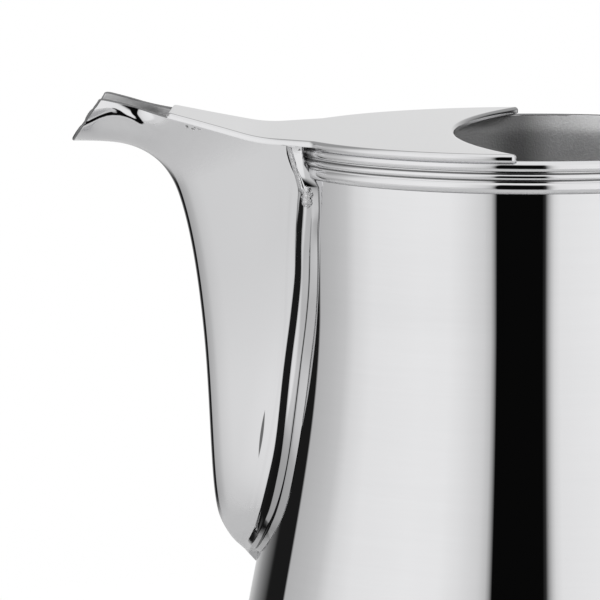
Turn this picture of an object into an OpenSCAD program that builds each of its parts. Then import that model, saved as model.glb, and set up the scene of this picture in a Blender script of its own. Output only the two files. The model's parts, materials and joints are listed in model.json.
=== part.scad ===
// Polished steel coffee pot: bell-shaped body, beaded mouth, broad soldered spout,
// fixed half cover over the spout and the front of the mouth, hinged rear lid with a
// thumb lever, and a cast handle pinned into two sockets.
// Millimetres. +Z is up, the spout points along -X and the handle along +X.
// The origin is the middle of the foot, on the table.

/* [Body] */
// Height of the mouth's edge above the table
body_h = 137; // [125:1:155]
// Outside radius of the straight neck
neck_r = 43.8; // [40:0.2:48]
// Outside radius of the belly at its widest
belly_r = 55.4; // [53:0.2:60]
// Height of the widest part of the belly
belly_z = 20; // [16:1:26]
// Radius at which the rounded lower edge would reach the table
foot_r = 46; // [44:0.5:49]
// Length of the straight neck below the mouth
neck_len = 30; // [26:1:40]
// Thickness of the sheet that the body is drawn from
wall = 0.7; // [0.5:0.1:1]

/* [Base] */
// Height of the foot below the body's lower edge
foot_h = 2.9; // [2.4:0.1:4]
// Width of the flat ring that stands on the table
foot_w = 3; // [2:0.25:5]
// Depth of the hollow under the base
base_recess = 1.8; // [1:0.1:2]
// Thickness of the base sheet
base_t = 0.8; // [0.6:0.1:1]

/* [Beaded rim] */
// Section radius of the top bead
bead_top_r = 1.1; // [0.9:0.05:1.3]
// Section radius of the middle bead
bead_mid_r = 0.6; // [0.4:0.05:0.8]
// Section radius of the bottom bead
bead_low_r = 1.25; // [1:0.05:1.5]
// How far the beads stand out from the neck
bead_out = 0.8; // [0.6:0.05:1]

/* [Spout] */
// Reach of the lip beyond the neck
spout_reach = 39.8; // [37:0.2:43]
// Drop of the spout's lowest point below the mouth
spout_drop = 78; // [72:1:84]
// Distance that the lip's top corners stand back from its point
lip_rake = 4.7; // [3:0.1:6]
// Share of its width that the spout keeps at the lip
lip_share = 0.7; // [0.6:0.02:0.9]
// Height of the lip's edge above the cover's underside
lip_rise = 0.4; // [0.2:0.1:0.8]
// Steepness of the spout's side walls against its middle plane
wall_slope = 1.6; // [1.45:0.05:1.8]
// Size of the rounding along the spout's front edge
nose = 8; // [6:0.5:10]
// Thickness of the spout's sheet
spout_t = 0.7; // [0.5:0.1:0.9]
// Width of the soldered flange round the spout's foot
flange_w = 2.4; // [1.5:0.1:3]
// Thickness of that flange
flange_t = 0.6; // [0.4:0.1:0.8]

/* [Strainer] */
// Half width of the window behind the spout
window_w = 9; // [7:0.5:11]
// Height of that window
window_h = 26; // [20:1:30]
// Distance of the window below the beads
window_drop = 3; // [2:0.5:5]
// Overlap of the perforated plate round the window
strainer_lap = 3; // [2:0.5:3.5]
// Thickness of the perforated plate
strainer_t = 0.5; // [0.4:0.1:0.7]
// Radius of each hole in the plate
strainer_hole_r = 1.3; // [0.9:0.1:1.5]
// Distance between neighbouring holes
strainer_pitch = 4; // [3.6:0.2:5]

/* [Front cover] */
// How far the cover's turned-down edge stands out from the neck
cover_out = 1.2; // [1:0.05:1.6]
// Thickness of the cover's plate
cover_t = 1.1; // [0.8:0.1:1.3]
// Thickness of the turned-down edge
skirt_t = 0.5; // [0.3:0.05:0.55]
// Distance that the turned-down edge hangs below the mouth
skirt_drop = 0.35; // [0.2:0.05:0.6]
// Distance from the neck to the bend in the cover
cover_bend = 5.2; // [4:0.2:8]
// Slope of the cover in front of the bend, in degrees
cover_slope = 13; // [9:0.5:16]
// Length of the lip that the cover leaves open
lip_open = 18.6; // [15:0.2:22]
// Radius of the scooped rear edge
scoop_r = 90; // [80:1:110]
// Distance from the pot's axis to the deepest point of the scoop
scoop_front = 14.3; // [12:0.1:18]

/* [Lid] */
// Thickness of the lid's plate
lid_t = 0.8; // [0.6:0.1:1]
// Overlap of the closed lid on the scooped edge
lid_overlap = 3; // [2:0.1:4]
// Angle at which the open lid rests, from closed
lid_open = 105; // [98:1:108]

/* [Hinge] */
// Radius of the hinge pin
pin_r = 1; // [0.8:0.05:1.2]
// Outside radius of the hinge knuckles
knuckle_r = 2.2; // [1.9:0.05:2.4]
// Distance of the hinge pin behind the neck
hinge_back = 5.7; // [5.4:0.1:7]
// Length of the lid's knuckle
leaf_w = 6; // [5:0.2:8]
// Length of each of the bracket's two knuckles
ear_w = 2.8; // [2:0.1:3.6]
// Thickness of the lid's hinge strap
leaf_t = 1; // [0.8:0.1:1.2]
// Length of the strap from the pin to its end on the lid
leaf_len = 16; // [15:0.5:19]
// Thickness of the bracket's arm
arm_t = 2.6; // [2.2:0.1:3]
// Height of the bracket's pad on the neck
pad_h = 6.6; // [5:0.2:8]
// Radius of the rolled end of the thumb lever
lever_roll_r = 1.6; // [1.3:0.1:2]
// Angle of the thumb lever above the closed lid, in degrees
lever_angle = 60; // [55:1:65]
// Thickness of the thumb lever
lever_t = 1; // [0.8:0.1:1.2]
// Width of the lever's thumb pad
lever_w = 11; // [8:0.5:14]
// Shank radius of the lid's rivets
rivet_r = 1; // [0.8:0.05:1.2]
// Distance from the strap's end to the first rivet
rivet_edge = 2.8; // [2.4:0.1:3.2]
// Distance between the two rivets
rivet_pitch = 4.6; // [4:0.1:5]

/* [Handle] */
// Drop of the upper socket's axis below the mouth
upper_drop = 20; // [19:0.5:24]
// Height of the lower socket's axis above the table
lower_z = 40; // [36:1:46]
// Outside radius of the sockets
socket_r = 6.2; // [5.8:0.1:6.5]
// Length of the sockets beyond the body
socket_len = 9; // [8:0.5:12]
// Radius of the handle's ends inside the sockets
tang_r = 4.4; // [4:0.1:4.8]
// Depth of the handle's ends inside the sockets
tang_len = 6; // [5:0.5:7]
// Reach of the handle's centre line beyond the neck
handle_reach = 43; // [38:1:50]
// Half width of the handle's grip
grip_w = 7; // [6:0.2:8]
// Half thickness of the handle's grip
grip_t = 4.6; // [4:0.2:5.2]
// Radius of the pins through the sockets
handle_pin_r = 1.25; // [1:0.05:1.5]

/* [Hidden] */
$fn = 96;

solder_gap = 0.05; // between pieces that are soldered together
rest_gap = 0.1;    // between plates that lie on each other
run_gap = 0.03;    // radial play of a pin in its bore
lid_gap = 0.25;    // between moving pieces that lie on each other

steel = "silver";
satin = "darkgray";

flare_z = body_h - neck_len;
profile_steps = 28; // steps along each curved part of the body's outline

cover_r = neck_r + cover_out;           // outside of the turned-down edges of cover and lid
cover_z = body_h + rest_gap;            // underside of the flat part of the cover
lid_z = cover_z + cover_t + lid_gap;    // underside of the closed lid
scoop_x = scoop_r - scoop_front;        // centre of the scooped edge
collar_r = neck_r + solder_gap;
bead_low_z = body_h - 2 * (bead_top_r + bead_mid_r + bead_low_r);

hinge_x = neck_r + hinge_back;
hinge_z = lid_z;
pin_head_r = pin_r + 0.6;
pin_head_t = 0.7;
slot_gap = 0.15; // side play of the lid's knuckle between the ears
ear_y = leaf_w / 2 + slot_gap;
bracket_w = 2 * (ear_y + ear_w);
leaf_z = lid_z + lid_t;
lever_z = leaf_z + leaf_t;
rivet_x = [hinge_x - leaf_len + rivet_edge, hinge_x - leaf_len + rivet_edge + rivet_pitch];
rivet_head_r = rivet_r + 0.8;
rivet_head_h = 0.7;

upper_z = body_h - upper_drop;
// The open lid stops with the lever's roll just above the handle.
lever_len = (hinge_z - upper_z - tang_r - lever_roll_r - lid_gap) / sin(lid_open - lever_angle);
socket_bore_r = tang_r + rest_gap;

// Smooth step from 0 to 1.
function smooth(t) = t * t * (3 - 2 * t);
function mix(a, b, t) = a + (b - a) * t;

// Outside radius of the body at height z: a rounded lower edge, a flared bell and a straight neck.
function body_r(z) =
  z >= flare_z ? neck_r
  : z >= belly_z ? mix(neck_r, belly_r, smooth((flare_z - z) / (flare_z - belly_z)))
  : mix(foot_r, belly_r, sqrt(1 - pow((belly_z - z) / belly_z, 2)));

// Points of the body's outline from the lower edge to the mouth, moved in by the given depth.
function body_outline(inset) = [
  for (i = [0 : profile_steps]) let (z = mix(foot_h, belly_z, sin(90 * i / profile_steps)))
    [body_r(z) - inset, z],
  for (i = [1 : profile_steps]) let (z = mix(belly_z, flare_z, i / profile_steps))
    [body_r(z) - inset, z],
  [neck_r - inset, body_h]
];

function reverse(list) = [for (i = [len(list) - 1 : -1 : 0]) list[i]];

// Underside of the front cover at x: flat over the mouth, then rising towards the lip.
function cover_under(x) = cover_z + max(0, -x - neck_r - cover_bend) * tan(cover_slope);

// Points of a smooth curve through a list of points, at t from 0 to the last index.
function spline_at(points, t) =
  let (
    last = len(points) - 1,
    i = min(floor(t), last - 1),
    f = t - i,
    p1 = points[i],
    p2 = points[i + 1],
    p0 = i > 0 ? points[i - 1] : 2 * p1 - p2,
    p3 = i + 2 <= last ? points[i + 2] : 2 * p2 - p1
  )
  0.5 * (2 * p1 + (p2 - p0) * f + (2 * p0 - 5 * p1 + 4 * p2 - p3) * f * f
    + (3 * p1 - p0 - 3 * p2 + p3) * f * f * f);

// Cubic curve with two handles.
function bezier(a, b, c, d, t) =
  pow(1 - t, 3) * a + 3 * t * pow(1 - t, 2) * b + 3 * t * t * (1 - t) * c + t * t * t * d;

/* Spout surface: the keel is the front edge seen from the side. Ribs run from it into the spout,
   and the half width grows along each rib, until the rib meets the body or the cover. */
spout_ribs = 48;
rib_steps = 14;
corner_rib = 30;  // rib that ends where the spout's edge leaves the body for the cover
rise_len = 2;      // length over which the upper edge steps up beyond the cover
seat_gap = 0.95;  // from the body to the spout's edge, which leaves room for the sheet
foot_stand = 1.6; // from the body to the keel's lowest point
rib_reach = 34;   // longer than any rib
rake_share = 0.8;  // share of the keel from which the ribs lean back to the lip's rake
tongue_steps = 24; // steps along each side of the cover's tongue
narrow_share = 0.78; // share of the keel from which the spout narrows to the lip

// The keel as [stand from the body as a share of the reach, share of the drop], from foot to lip.
keel_points = [
  [0.1446, 0.944], [0.2457, 0.859], [0.3257, 0.705], [0.3943, 0.513], [0.435, 0.346], [0.490, 0.195],
  [0.555, 0.099], [0.648, 0.042], [0.794, 0.017], [1, 0]
];
function keel_spot(stand, z) = [-body_r(z) - stand, z];
keel_line = concat(
  [keel_spot(foot_stand, body_h - spout_drop)],
  [for (k = keel_points) keel_spot(spout_reach * k[0], body_h - spout_drop * k[1])]
);

function limit(t) = min(1, max(0, t));
function keel_at(v) = spline_at(keel_line, v * (len(keel_line) - 1));

// Direction of a rib seen from the side: square to the keel, leaning to the rake at the lip.
function rib_way(v) =
  let (
    e = 0.002,
    along = keel_at(min(1, v + e)) - keel_at(max(0, v - e)),
    square_way = [along[1], -along[0]] / norm(along),
    rise = cover_under(-neck_r - spout_reach + lip_rake) - body_h,
    rake_way = [lip_rake, rise] / norm([lip_rake, rise]),
    way = mix(square_way, rake_way, smooth(limit((v - rake_share) / (1 - rake_share))))
  )
  way / norm(way);

// Point of the outer surface at depth d along the rib that starts at v on the keel.
function rib_point(v, d) =
  let (
    p = keel_at(v) + d * rib_way(v),
    share = mix(1, lip_share, smooth(limit((v - narrow_share) / (1 - narrow_share))))
  )
  [p[0], share * sqrt(d * (d + 2 * nose)) / wall_slope, p[1]];

// Height of the spout's upper edge at x: under the cover, and a little higher along the open lip.
cover_end = -neck_r - spout_reach + lip_open;
function brim_z(x) = cover_under(x) - rest_gap + lip_rise * smooth(limit((cover_end - x) / rise_len));

function on_body(p) = norm([p[0], p[1]]) <= body_r(p[2]) + seat_gap;
function on_brim(p) = p[2] >= brim_z(p[0]);

// Depth at which a rib meets the body or the upper edge, by halving the span between low and high.
function rib_depth(v, low = 0, high = rib_reach, left = 24) =
  let (mid = (low + high) / 2, p = rib_point(v, mid), stop = on_body(p) || on_brim(p))
  left == 0 ? low : stop ? rib_depth(v, low, mid, left - 1) : rib_depth(v, mid, high, left - 1);

// Place on the keel whose rib ends in the corner between the body and the cover.
function corner_at(low = 0.5, high = 0.8, left = 20) =
  let (mid = (low + high) / 2, d = rib_depth(mid), p = rib_point(mid, d + rest_gap / 10), high_side = on_brim(p))
  left == 0 ? low : high_side ? corner_at(low, mid, left - 1) : corner_at(mid, high, left - 1);

corner_v = corner_at();
rib_places = [
  for (i = [0 : corner_rib]) corner_v * i / corner_rib,
  for (i = [1 : spout_ribs - corner_rib]) mix(corner_v, 1, i / (spout_ribs - corner_rib))
];
// Points of the outer surface, a row for each rib, closer together near the keel.
spout_rows = [
  for (v = rib_places) let (depth = rib_depth(v))
    [for (j = [0 : rib_steps]) rib_point(v, depth * pow(j / rib_steps, 1.7))]
];
rib_ends = [for (row = spout_rows) row[rib_steps]];
root_w = rib_ends[corner_rib][1];

// Outward unit normal at a point of the rows.
function spout_normal(i, j) =
  let (
    along = spout_rows[min(spout_ribs, i + 1)][j] - spout_rows[max(0, i - 1)][j],
    across = spout_rows[i][min(rib_steps, j + 1)] - spout_rows[i][max(0, j - 1)],
    n = cross(across, along)
  )
  j == 0 ? [n[0], 0, n[2]] / norm([n[0], 0, n[2]]) : n / norm(n);

// Triangles of a strip between two rows of points that start at a and b.
function strip(a, b, count) = [
  for (j = [0 : count - 1]) each [[a + j, b + j, b + j + 1], [a + j, b + j + 1, a + j + 1]]
];
// Triangles of an edge between two columns of points, one every step.
function seam_strip(a, b, step, count) = [
  for (i = [0 : count - 1])
    each [[a + i * step, a + (i + 1) * step, b + (i + 1) * step], [a + i * step, b + (i + 1) * step, b + i * step]]
];

// One stamped half of the spout, on the +Y side.
module spout_half() {
  row = rib_steps + 1;
  inner = (spout_ribs + 1) * row;
  points = concat(
    [for (i = [0 : spout_ribs], j = [0 : rib_steps]) spout_rows[i][j]],
    [for (i = [0 : spout_ribs], j = [0 : rib_steps]) spout_rows[i][j] - spout_t * spout_normal(i, j)]
  );
  faces = concat(
    [for (i = [0 : spout_ribs - 1]) each strip(i * row, (i + 1) * row, rib_steps)],
    [for (i = [0 : spout_ribs - 1]) each [for (f = strip(inner + i * row, inner + (i + 1) * row, rib_steps)) reverse(f)]],
    seam_strip(inner, 0, row, spout_ribs),
    [for (f = seam_strip(inner + rib_steps, rib_steps, row, spout_ribs)) reverse(f)],
    [for (f = strip(0, inner, rib_steps)) reverse(f)],
    strip(spout_ribs * row, inner + spout_ribs * row, rib_steps)
  );
  polyhedron(points, faces);
}

module body_shell() {
  color(steel)
    difference() {
      rotate_extrude() polygon(concat(body_outline(0), reverse(body_outline(wall))));
      strainer_window(window_w, window_h, 2);
    }
}

module base_cup() {
  outer = body_r(foot_h) - wall / 2;
  edge = 0.6; // bevel at the foot's edges
  color(steel)
    rotate_extrude()
      polygon([
        [0, base_recess],
        [outer - foot_w - 2 * edge - base_recess, base_recess],
        [outer - foot_w - edge, 0],
        [outer - edge, 0],
        [outer, edge],
        [outer, foot_h],
        [outer - foot_w - 2 * edge - base_recess - base_t, foot_h],
        [outer - foot_w - 2 * edge - base_recess - base_t, base_recess + base_t],
        [0, base_recess + base_t]
      ]);
}

// Cuts away what lies within the spout's foot, at the mouth.
module spout_gate(extra) {
  w = root_w + extra;
  translate([-2 * neck_r, -w, 0]) cube([2 * neck_r, 2 * w, 2 * body_h]);
}

module bead(r, z) {
  translate([neck_r + bead_out - r, z]) circle(r);
}

module rim_collar() {
  mid_z = bead_low_z + 2 * bead_low_r + bead_mid_r;
  end_angle = 180 - asin((root_w + seat_gap) / collar_r); // where the beads stop beside the spout
  color(steel)
    rotate([0, 0, -end_angle])
      rotate_extrude(angle = 2 * end_angle)
        intersection() {
          union() {
            translate([collar_r, bead_low_z + bead_low_r / 2])
              square([bead_out / 2, body_h - bead_low_z - bead_low_r / 2 - bead_top_r / 2]);
            bead(bead_low_r, bead_low_z + bead_low_r);
            bead(bead_mid_r, mid_z);
            bead(bead_top_r, body_h - bead_top_r);
          }
          translate([collar_r, 0]) square([neck_r, body_h]);
        }
}

module spout_left_half() {
  color(steel) mirror([0, 1, 0]) spout_half();
}

module spout_right_half() {
  color(steel) spout_half();
}

// Outline of the spout's foot, grown by the given width, seen along the spout.
module seat_outline(grow) {
  top = bead_low_z - rest_gap;
  side = [for (i = [0 : corner_rib]) let (p = rib_ends[i]) if (p[2] < top) [p[1] + grow, p[2]]];
  low = side[0];
  high = [side[len(side) - 1][0], top];
  right = concat([[low[0] * 0.6, low[1] - grow * 0.9]], side, [high]);
  polygon(concat([[0, low[1] - grow]], right, reverse([for (p = right) [-p[0], p[1]]])));
}

module spout_flange() {
  gap = solder_gap;
  color(steel)
    intersection() {
      rotate_extrude() polygon(concat(body_outline(-gap - flange_t), reverse(body_outline(-gap))));
      rotate([90, 0, -90])
        linear_extrude(height = 2 * belly_r)
          difference() {
            seat_outline(flange_w);
            seat_outline(rest_gap);
          }
    }
}

// A slot with round ends through the front of the body.
module strainer_window(w, h, r) {
  top = bead_low_z - window_drop;
  translate([-neck_r / 2, 0, top - h / 2])
    rotate([0, -90, 0])
      linear_extrude(height = neck_r) {
        square([h - 2 * r, 2 * w], center = true);
        square([h, 2 * w - 2 * r], center = true);
        for (x = [-1, 1], y = [-1, 1]) translate([x * (h / 2 - r), y * (w - r)]) circle(r);
      }
}

module spout_strainer() {
  outer = neck_r - wall - solder_gap;
  margin = strainer_lap;
  top = bead_low_z - window_drop;
  columns = floor(window_w / strainer_pitch);
  rows = floor((window_h / 2 - strainer_hole_r) / strainer_pitch);
  color(satin)
    difference() {
      intersection() {
        translate([0, 0, top - window_h - margin])
          difference() {
            cylinder(r = outer, h = window_h + 2 * margin);
            translate([0, 0, -1]) cylinder(r = outer - strainer_t, h = window_h + 2 * margin + 2);
          }
        translate([-2 * neck_r, -window_w - margin, 0]) cube([2 * neck_r, 2 * (window_w + margin), body_h]);
      }
      for (i = [-columns : columns], j = [-rows : rows])
        translate([0, 0, top - window_h / 2 + j * strainer_pitch])
          rotate([0, 0, asin(i * strainer_pitch / outer)])
            translate([-outer - 1, 0, 0])
              rotate([0, 90, 0]) cylinder(r = strainer_hole_r, h = strainer_t + 2);
    }
}

// Half of the cover's tongue, from the body to the end of the cover.
function tongue_side() =
  let (
    widths = [for (i = [corner_rib : spout_ribs]) [-rib_ends[i][0], rib_ends[i][1]]],
    start = rib_ends[corner_rib][0]
  )
  [for (i = [0 : tongue_steps]) let (x = mix(start, cover_end, i / tongue_steps)) [x, lookup(-x, widths)]];

module cover_outline() {
  side = tongue_side();
  circle(cover_r);
  polygon(concat([[0, root_w]], side, reverse([for (p = side) [p[0], -p[1]]]), [[0, -root_w]]));
}

// The cover's bent sheet seen from the side, from the lip's end to the middle of the pot.
module cover_section() {
  bend_x = -neck_r - cover_bend;
  far_x = -neck_r - spout_reach;
  polygon([
    [neck_r, cover_z], [bend_x, cover_z], [far_x, cover_under(far_x)],
    [far_x, cover_under(far_x) + cover_t], [bend_x, cover_z + cover_t], [neck_r, cover_z + cover_t]
  ]);
}

// What the cover leaves open: the scooped rear half of the mouth.
module scoop() {
  translate([scoop_x, 0, 0]) cylinder(r = scoop_r, h = 2 * body_h);
}

module front_cover() {
  lap = 0.3; // height that the turned-down edge shares with the plate
  color(steel)
    union() {
      difference() {
        intersection() {
          linear_extrude(height = 2 * body_h) cover_outline();
          translate([0, 2 * cover_r, 0]) rotate([90, 0, 0]) linear_extrude(height = 4 * cover_r) cover_section();
        }
        scoop();
      }
      difference() {
        translate([0, 0, body_h - skirt_drop])
          difference() {
            cylinder(r = cover_r, h = skirt_drop + rest_gap + lap);
            translate([0, 0, -1]) cylinder(r = cover_r - skirt_t, h = body_h);
          }
        spout_gate(seat_gap);
        scoop();
      }
    }
}

// The bracket's side view: a pad on the neck, an arm past the beads and a knuckle.
module bracket_section() {
  pad_top = bead_low_z - rest_gap;
  pad_low = pad_top - pad_h;
  root_x = neck_r - arm_t;
  arm_in = neck_r + bead_out + 2 * lid_gap;
  arm_out = arm_in + arm_t;
  bevel = arm_t / 2;
  shoulder_z = hinge_z - 1.5 * knuckle_r;
  difference() {
    union() {
      polygon([
        [root_x, pad_low], [arm_out - bevel, pad_low], [arm_out, pad_low + bevel], [arm_out, shoulder_z],
        [hinge_x + knuckle_r, hinge_z], [hinge_x, hinge_z + knuckle_r / 2], [hinge_x - knuckle_r, hinge_z],
        [arm_in, shoulder_z], [arm_in, pad_top], [root_x, pad_top]
      ]);
      translate([hinge_x, hinge_z]) circle(knuckle_r);
    }
    translate([hinge_x, hinge_z]) circle(pin_r + run_gap);
  }
}

module hinge_bracket() {
  slot_z = hinge_z - knuckle_r - lid_gap;
  color(steel)
    difference() {
      translate([0, bracket_w / 2, 0]) rotate([90, 0, 0]) linear_extrude(height = bracket_w) bracket_section();
      cylinder(r = collar_r, h = body_h);
      translate([neck_r, -ear_y, slot_z - 1.5]) cube([neck_r, 2 * ear_y, body_h]);
    }
}

module hinge_pin() {
  length = bracket_w + 2 * solder_gap;
  color(steel)
    translate([hinge_x, 0, hinge_z])
      rotate([90, 0, 0])
        union() {
          cylinder(r = pin_r, h = length, center = true);
          for (side = [-1, 1])
            translate([0, 0, side * (length + pin_head_t) / 2]) cylinder(r = pin_head_r, h = pin_head_t, center = true);
        }
}

// A cup for one end of the handle, standing on the body at height z.
module socket(z, foot_x, end_x) {
  flare = 1.8; // widening of the cup's root
  floor_x = end_x - tang_len - rest_gap;
  difference() {
    translate([foot_x, 0, z])
      rotate([0, 90, 0])
        union() {
          cylinder(r = socket_r, h = end_x - foot_x);
          cylinder(r1 = socket_r + flare, r2 = socket_r, h = end_x - foot_x - tang_len / 2);
        }
    rotate_extrude() polygon(concat([[0, foot_h]], body_outline(-solder_gap), [[0, body_h]]));
    translate([floor_x, 0, z]) rotate([0, 90, 0]) cylinder(r = socket_bore_r, h = socket_len);
    handle_pin_bore(end_x, z, run_gap);
  }
}

module handle_pin_bore(end_x, z, gap) {
  translate([end_x - tang_len / 2, 0, z]) rotate([90, 0, 0]) cylinder(r = handle_pin_r + gap, h = 4 * socket_r, center = true);
}

upper_end = neck_r + socket_len;
lower_end = body_r(lower_z) + socket_len;

module upper_socket() {
  color(steel) socket(upper_z, neck_r - 3, upper_end);
}

module lower_socket() {
  color(steel) socket(lower_z, body_r(lower_z) - 4, lower_end);
}

/* Handle: an oval bar that follows two curves, round where its ends enter the sockets. */
handle_rings = 40;
handle_sides = 20;
handle_x = neck_r + handle_reach;
handle_mid_z = mix(lower_z, upper_z, 0.62);

tang_rings = 3; // rings along the straight end in each socket

// The centre line: straight in the upper socket, two curves round the fingers, straight again.
function handle_line(v) =
  let (
    share = tang_rings / handle_rings,
    a = [upper_end, upper_z],
    m = [handle_x, handle_mid_z],
    b = [lower_end, lower_z],
    rise = upper_z - handle_mid_z,
    fall = handle_mid_z - lower_z,
    t = (v - share) / (1 - 2 * share)
  )
  t < 0 ? a + [tang_len * t * (1 - 2 * share) / share, 0]
  : t > 1 ? b - [tang_len * (t - 1) * (1 - 2 * share) / share, 0]
  : t < 0.5 ? bezier(a, [mix(a[0], m[0], 0.55), upper_z], [handle_x, handle_mid_z + 0.95 * rise], m, 2 * t)
  : bezier(m, [handle_x, handle_mid_z - 0.62 * fall], [mix(b[0], m[0], 0.5), lower_z], b, 2 * t - 1);

// Share of the grip's full section: 0 in the sockets and 1 along the grip.
function handle_swell(v) = smooth(min(1, max(0, min(v, 1 - v) - 0.11) / 0.2));

function handle_ring(v) =
  let (
    e = 0.002,
    d = handle_line(min(1, v + e)) - handle_line(max(0, v - e)),
    across = [-d[1], d[0]] / norm(d),
    p = handle_line(v),
    s = handle_swell(v),
    a = mix(tang_r, grip_t, s),
    b = mix(tang_r, grip_w, s)
  )
  [for (k = [0 : handle_sides - 1]) let (u = 360 * k / handle_sides)
    [p[0] + across[0] * a * cos(u), b * sin(u), p[1] + across[1] * a * cos(u)]];

module handle() {
  points = [for (i = [0 : handle_rings]) each handle_ring(i / handle_rings)];
  n = handle_sides;
  side = [
    for (i = [0 : handle_rings - 1], k = [0 : n - 1]) let (a = i * n + k, b = i * n + (k + 1) % n)
      each [[a, b, b + n], [a, b + n, a + n]]
  ];
  ends = [
    for (k = [1 : n - 2]) each [[0, k + 1, k], [handle_rings * n, handle_rings * n + k, handle_rings * n + k + 1]]
  ];
  color(steel)
    difference() {
      polyhedron(points, concat(side, ends));
      handle_pin_bore(upper_end, upper_z, run_gap);
      handle_pin_bore(lower_end, lower_z, run_gap);
    }
}

module handle_pins() {
  color(steel)
    for (end = [[upper_end, upper_z], [lower_end, lower_z]])
      translate([end[0] - tang_len / 2, 0, end[1]])
        rotate([90, 0, 0]) cylinder(r = handle_pin_r, h = 2 * socket_r + 1.2, center = true);
}

// Sets a piece of the lid, drawn closed, at the angle where the open lid rests.
module opened() {
  translate([hinge_x, 0, hinge_z]) rotate([0, lid_open, 0]) translate([-hinge_x, 0, -hinge_z]) children();
}

module lid_outline(r) {
  intersection() {
    circle(r);
    translate([scoop_x, 0]) circle(scoop_r + lid_overlap);
  }
}

module lid_plate() {
  skirt_x = (cover_r * cover_r + scoop_x * scoop_x - scoop_r * scoop_r) / (2 * scoop_x) + lid_gap;
  color(steel)
    opened()
      difference() {
        union() {
          translate([0, 0, lid_z]) linear_extrude(height = lid_t) lid_outline(cover_r);
          intersection() {
            translate([0, 0, body_h - skirt_drop])
              difference() {
                cylinder(r = cover_r, h = lid_z + lid_t / 2 - body_h + skirt_drop);
                translate([0, 0, -1]) cylinder(r = cover_r - skirt_t, h = body_h);
              }
            translate([skirt_x, -2 * cover_r, 0]) cube([2 * cover_r, 4 * cover_r, 2 * body_h]);
          }
        }
        for (x = rivet_x) translate([x, 0, 0]) cylinder(r = rivet_r + run_gap, h = 2 * body_h);
      }
}

module hinge_leaf() {
  color(steel)
    opened()
      difference() {
        translate([0, leaf_w / 2, 0])
          rotate([90, 0, 0])
            linear_extrude(height = leaf_w)
              union() {
                translate([hinge_x - leaf_len, leaf_z]) square([leaf_len, leaf_t]);
                translate([hinge_x, hinge_z]) circle(knuckle_r);
              }
        translate([hinge_x, 0, hinge_z]) rotate([90, 0, 0]) cylinder(r = pin_r + run_gap, h = 2 * leaf_w, center = true);
        for (x = rivet_x) translate([x, 0, 0]) cylinder(r = rivet_r + run_gap, h = 2 * body_h);
      }
}

// The lever's side view: a foot on the strap, a bend over the knuckle and a rolled end.
module lever_section() {
  foot_x = hinge_x - leaf_len;
  base = [hinge_x - knuckle_r, lever_z];
  tip = [hinge_x + lever_len * cos(lever_angle), hinge_z + lever_len * sin(lever_angle)];
  d = (tip - base) / norm(tip - base);
  n = [-d[1], d[0]] * lever_t;
  bend = base + n + d * (lever_t - n[1]) / d[1];
  polygon([[foot_x, lever_z], base, tip, tip + n, bend, [foot_x, lever_z + lever_t]]);
  translate(tip + n / 2) circle(lever_roll_r);
}

// The lever seen from above: as wide as the strap, then spreading to the thumb pad.
module lever_outline() {
  foot_x = hinge_x - leaf_len - lever_t;
  bend_x = hinge_x - knuckle_r - 1;
  pad_x = hinge_x + lever_len * cos(lever_angle);
  polygon([
    [foot_x, -leaf_w / 2], [bend_x, -leaf_w / 2], [pad_x - 2, -lever_w / 2], [pad_x + 4, -lever_w / 2],
    [pad_x + 4, lever_w / 2], [pad_x - 2, lever_w / 2], [bend_x, leaf_w / 2], [foot_x, leaf_w / 2]
  ]);
}

module thumb_lever() {
  color(steel)
    opened()
      difference() {
        intersection() {
          translate([0, lever_w, 0]) rotate([90, 0, 0]) linear_extrude(height = 2 * lever_w) lever_section();
          linear_extrude(height = 2 * body_h) lever_outline();
        }
        for (x = rivet_x) translate([x, 0, 0]) cylinder(r = rivet_r + run_gap, h = lever_z + lever_t + 1);
      }
}

module lid_rivets() {
  top = lever_z + lever_t;
  color(steel)
    opened()
      for (x = rivet_x)
        translate([x, 0, 0])
          union() {
            translate([0, 0, lid_z - rest_gap]) cylinder(r = rivet_r, h = top - lid_z + 2 * rest_gap);
            translate([0, 0, lid_z - rest_gap - rivet_head_h]) cylinder(r = rivet_head_r, h = rivet_head_h);
            translate([0, 0, top + solder_gap]) cylinder(r1 = rivet_head_r, r2 = rivet_r, h = rivet_head_h);
          }
}

body_shell();
base_cup();
rim_collar();
spout_left_half();
spout_right_half();
spout_flange();
spout_strainer();
front_cover();
hinge_bracket();
hinge_pin();
upper_socket();
lower_socket();
handle();
handle_pins();
lid_plate();
hinge_leaf();
thumb_lever();
lid_rivets();
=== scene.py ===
"""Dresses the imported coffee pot: smooth sheet-metal pieces, steel finishes, studio and camera."""
import json
import math
from types import SimpleNamespace

import bmesh
import bpy
from bpy.props import FloatProperty, FloatVectorProperty, IntProperty, PointerProperty
from bpy.types import Operator, Panel, PropertyGroup
from mathutils import Matrix, Vector


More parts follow.
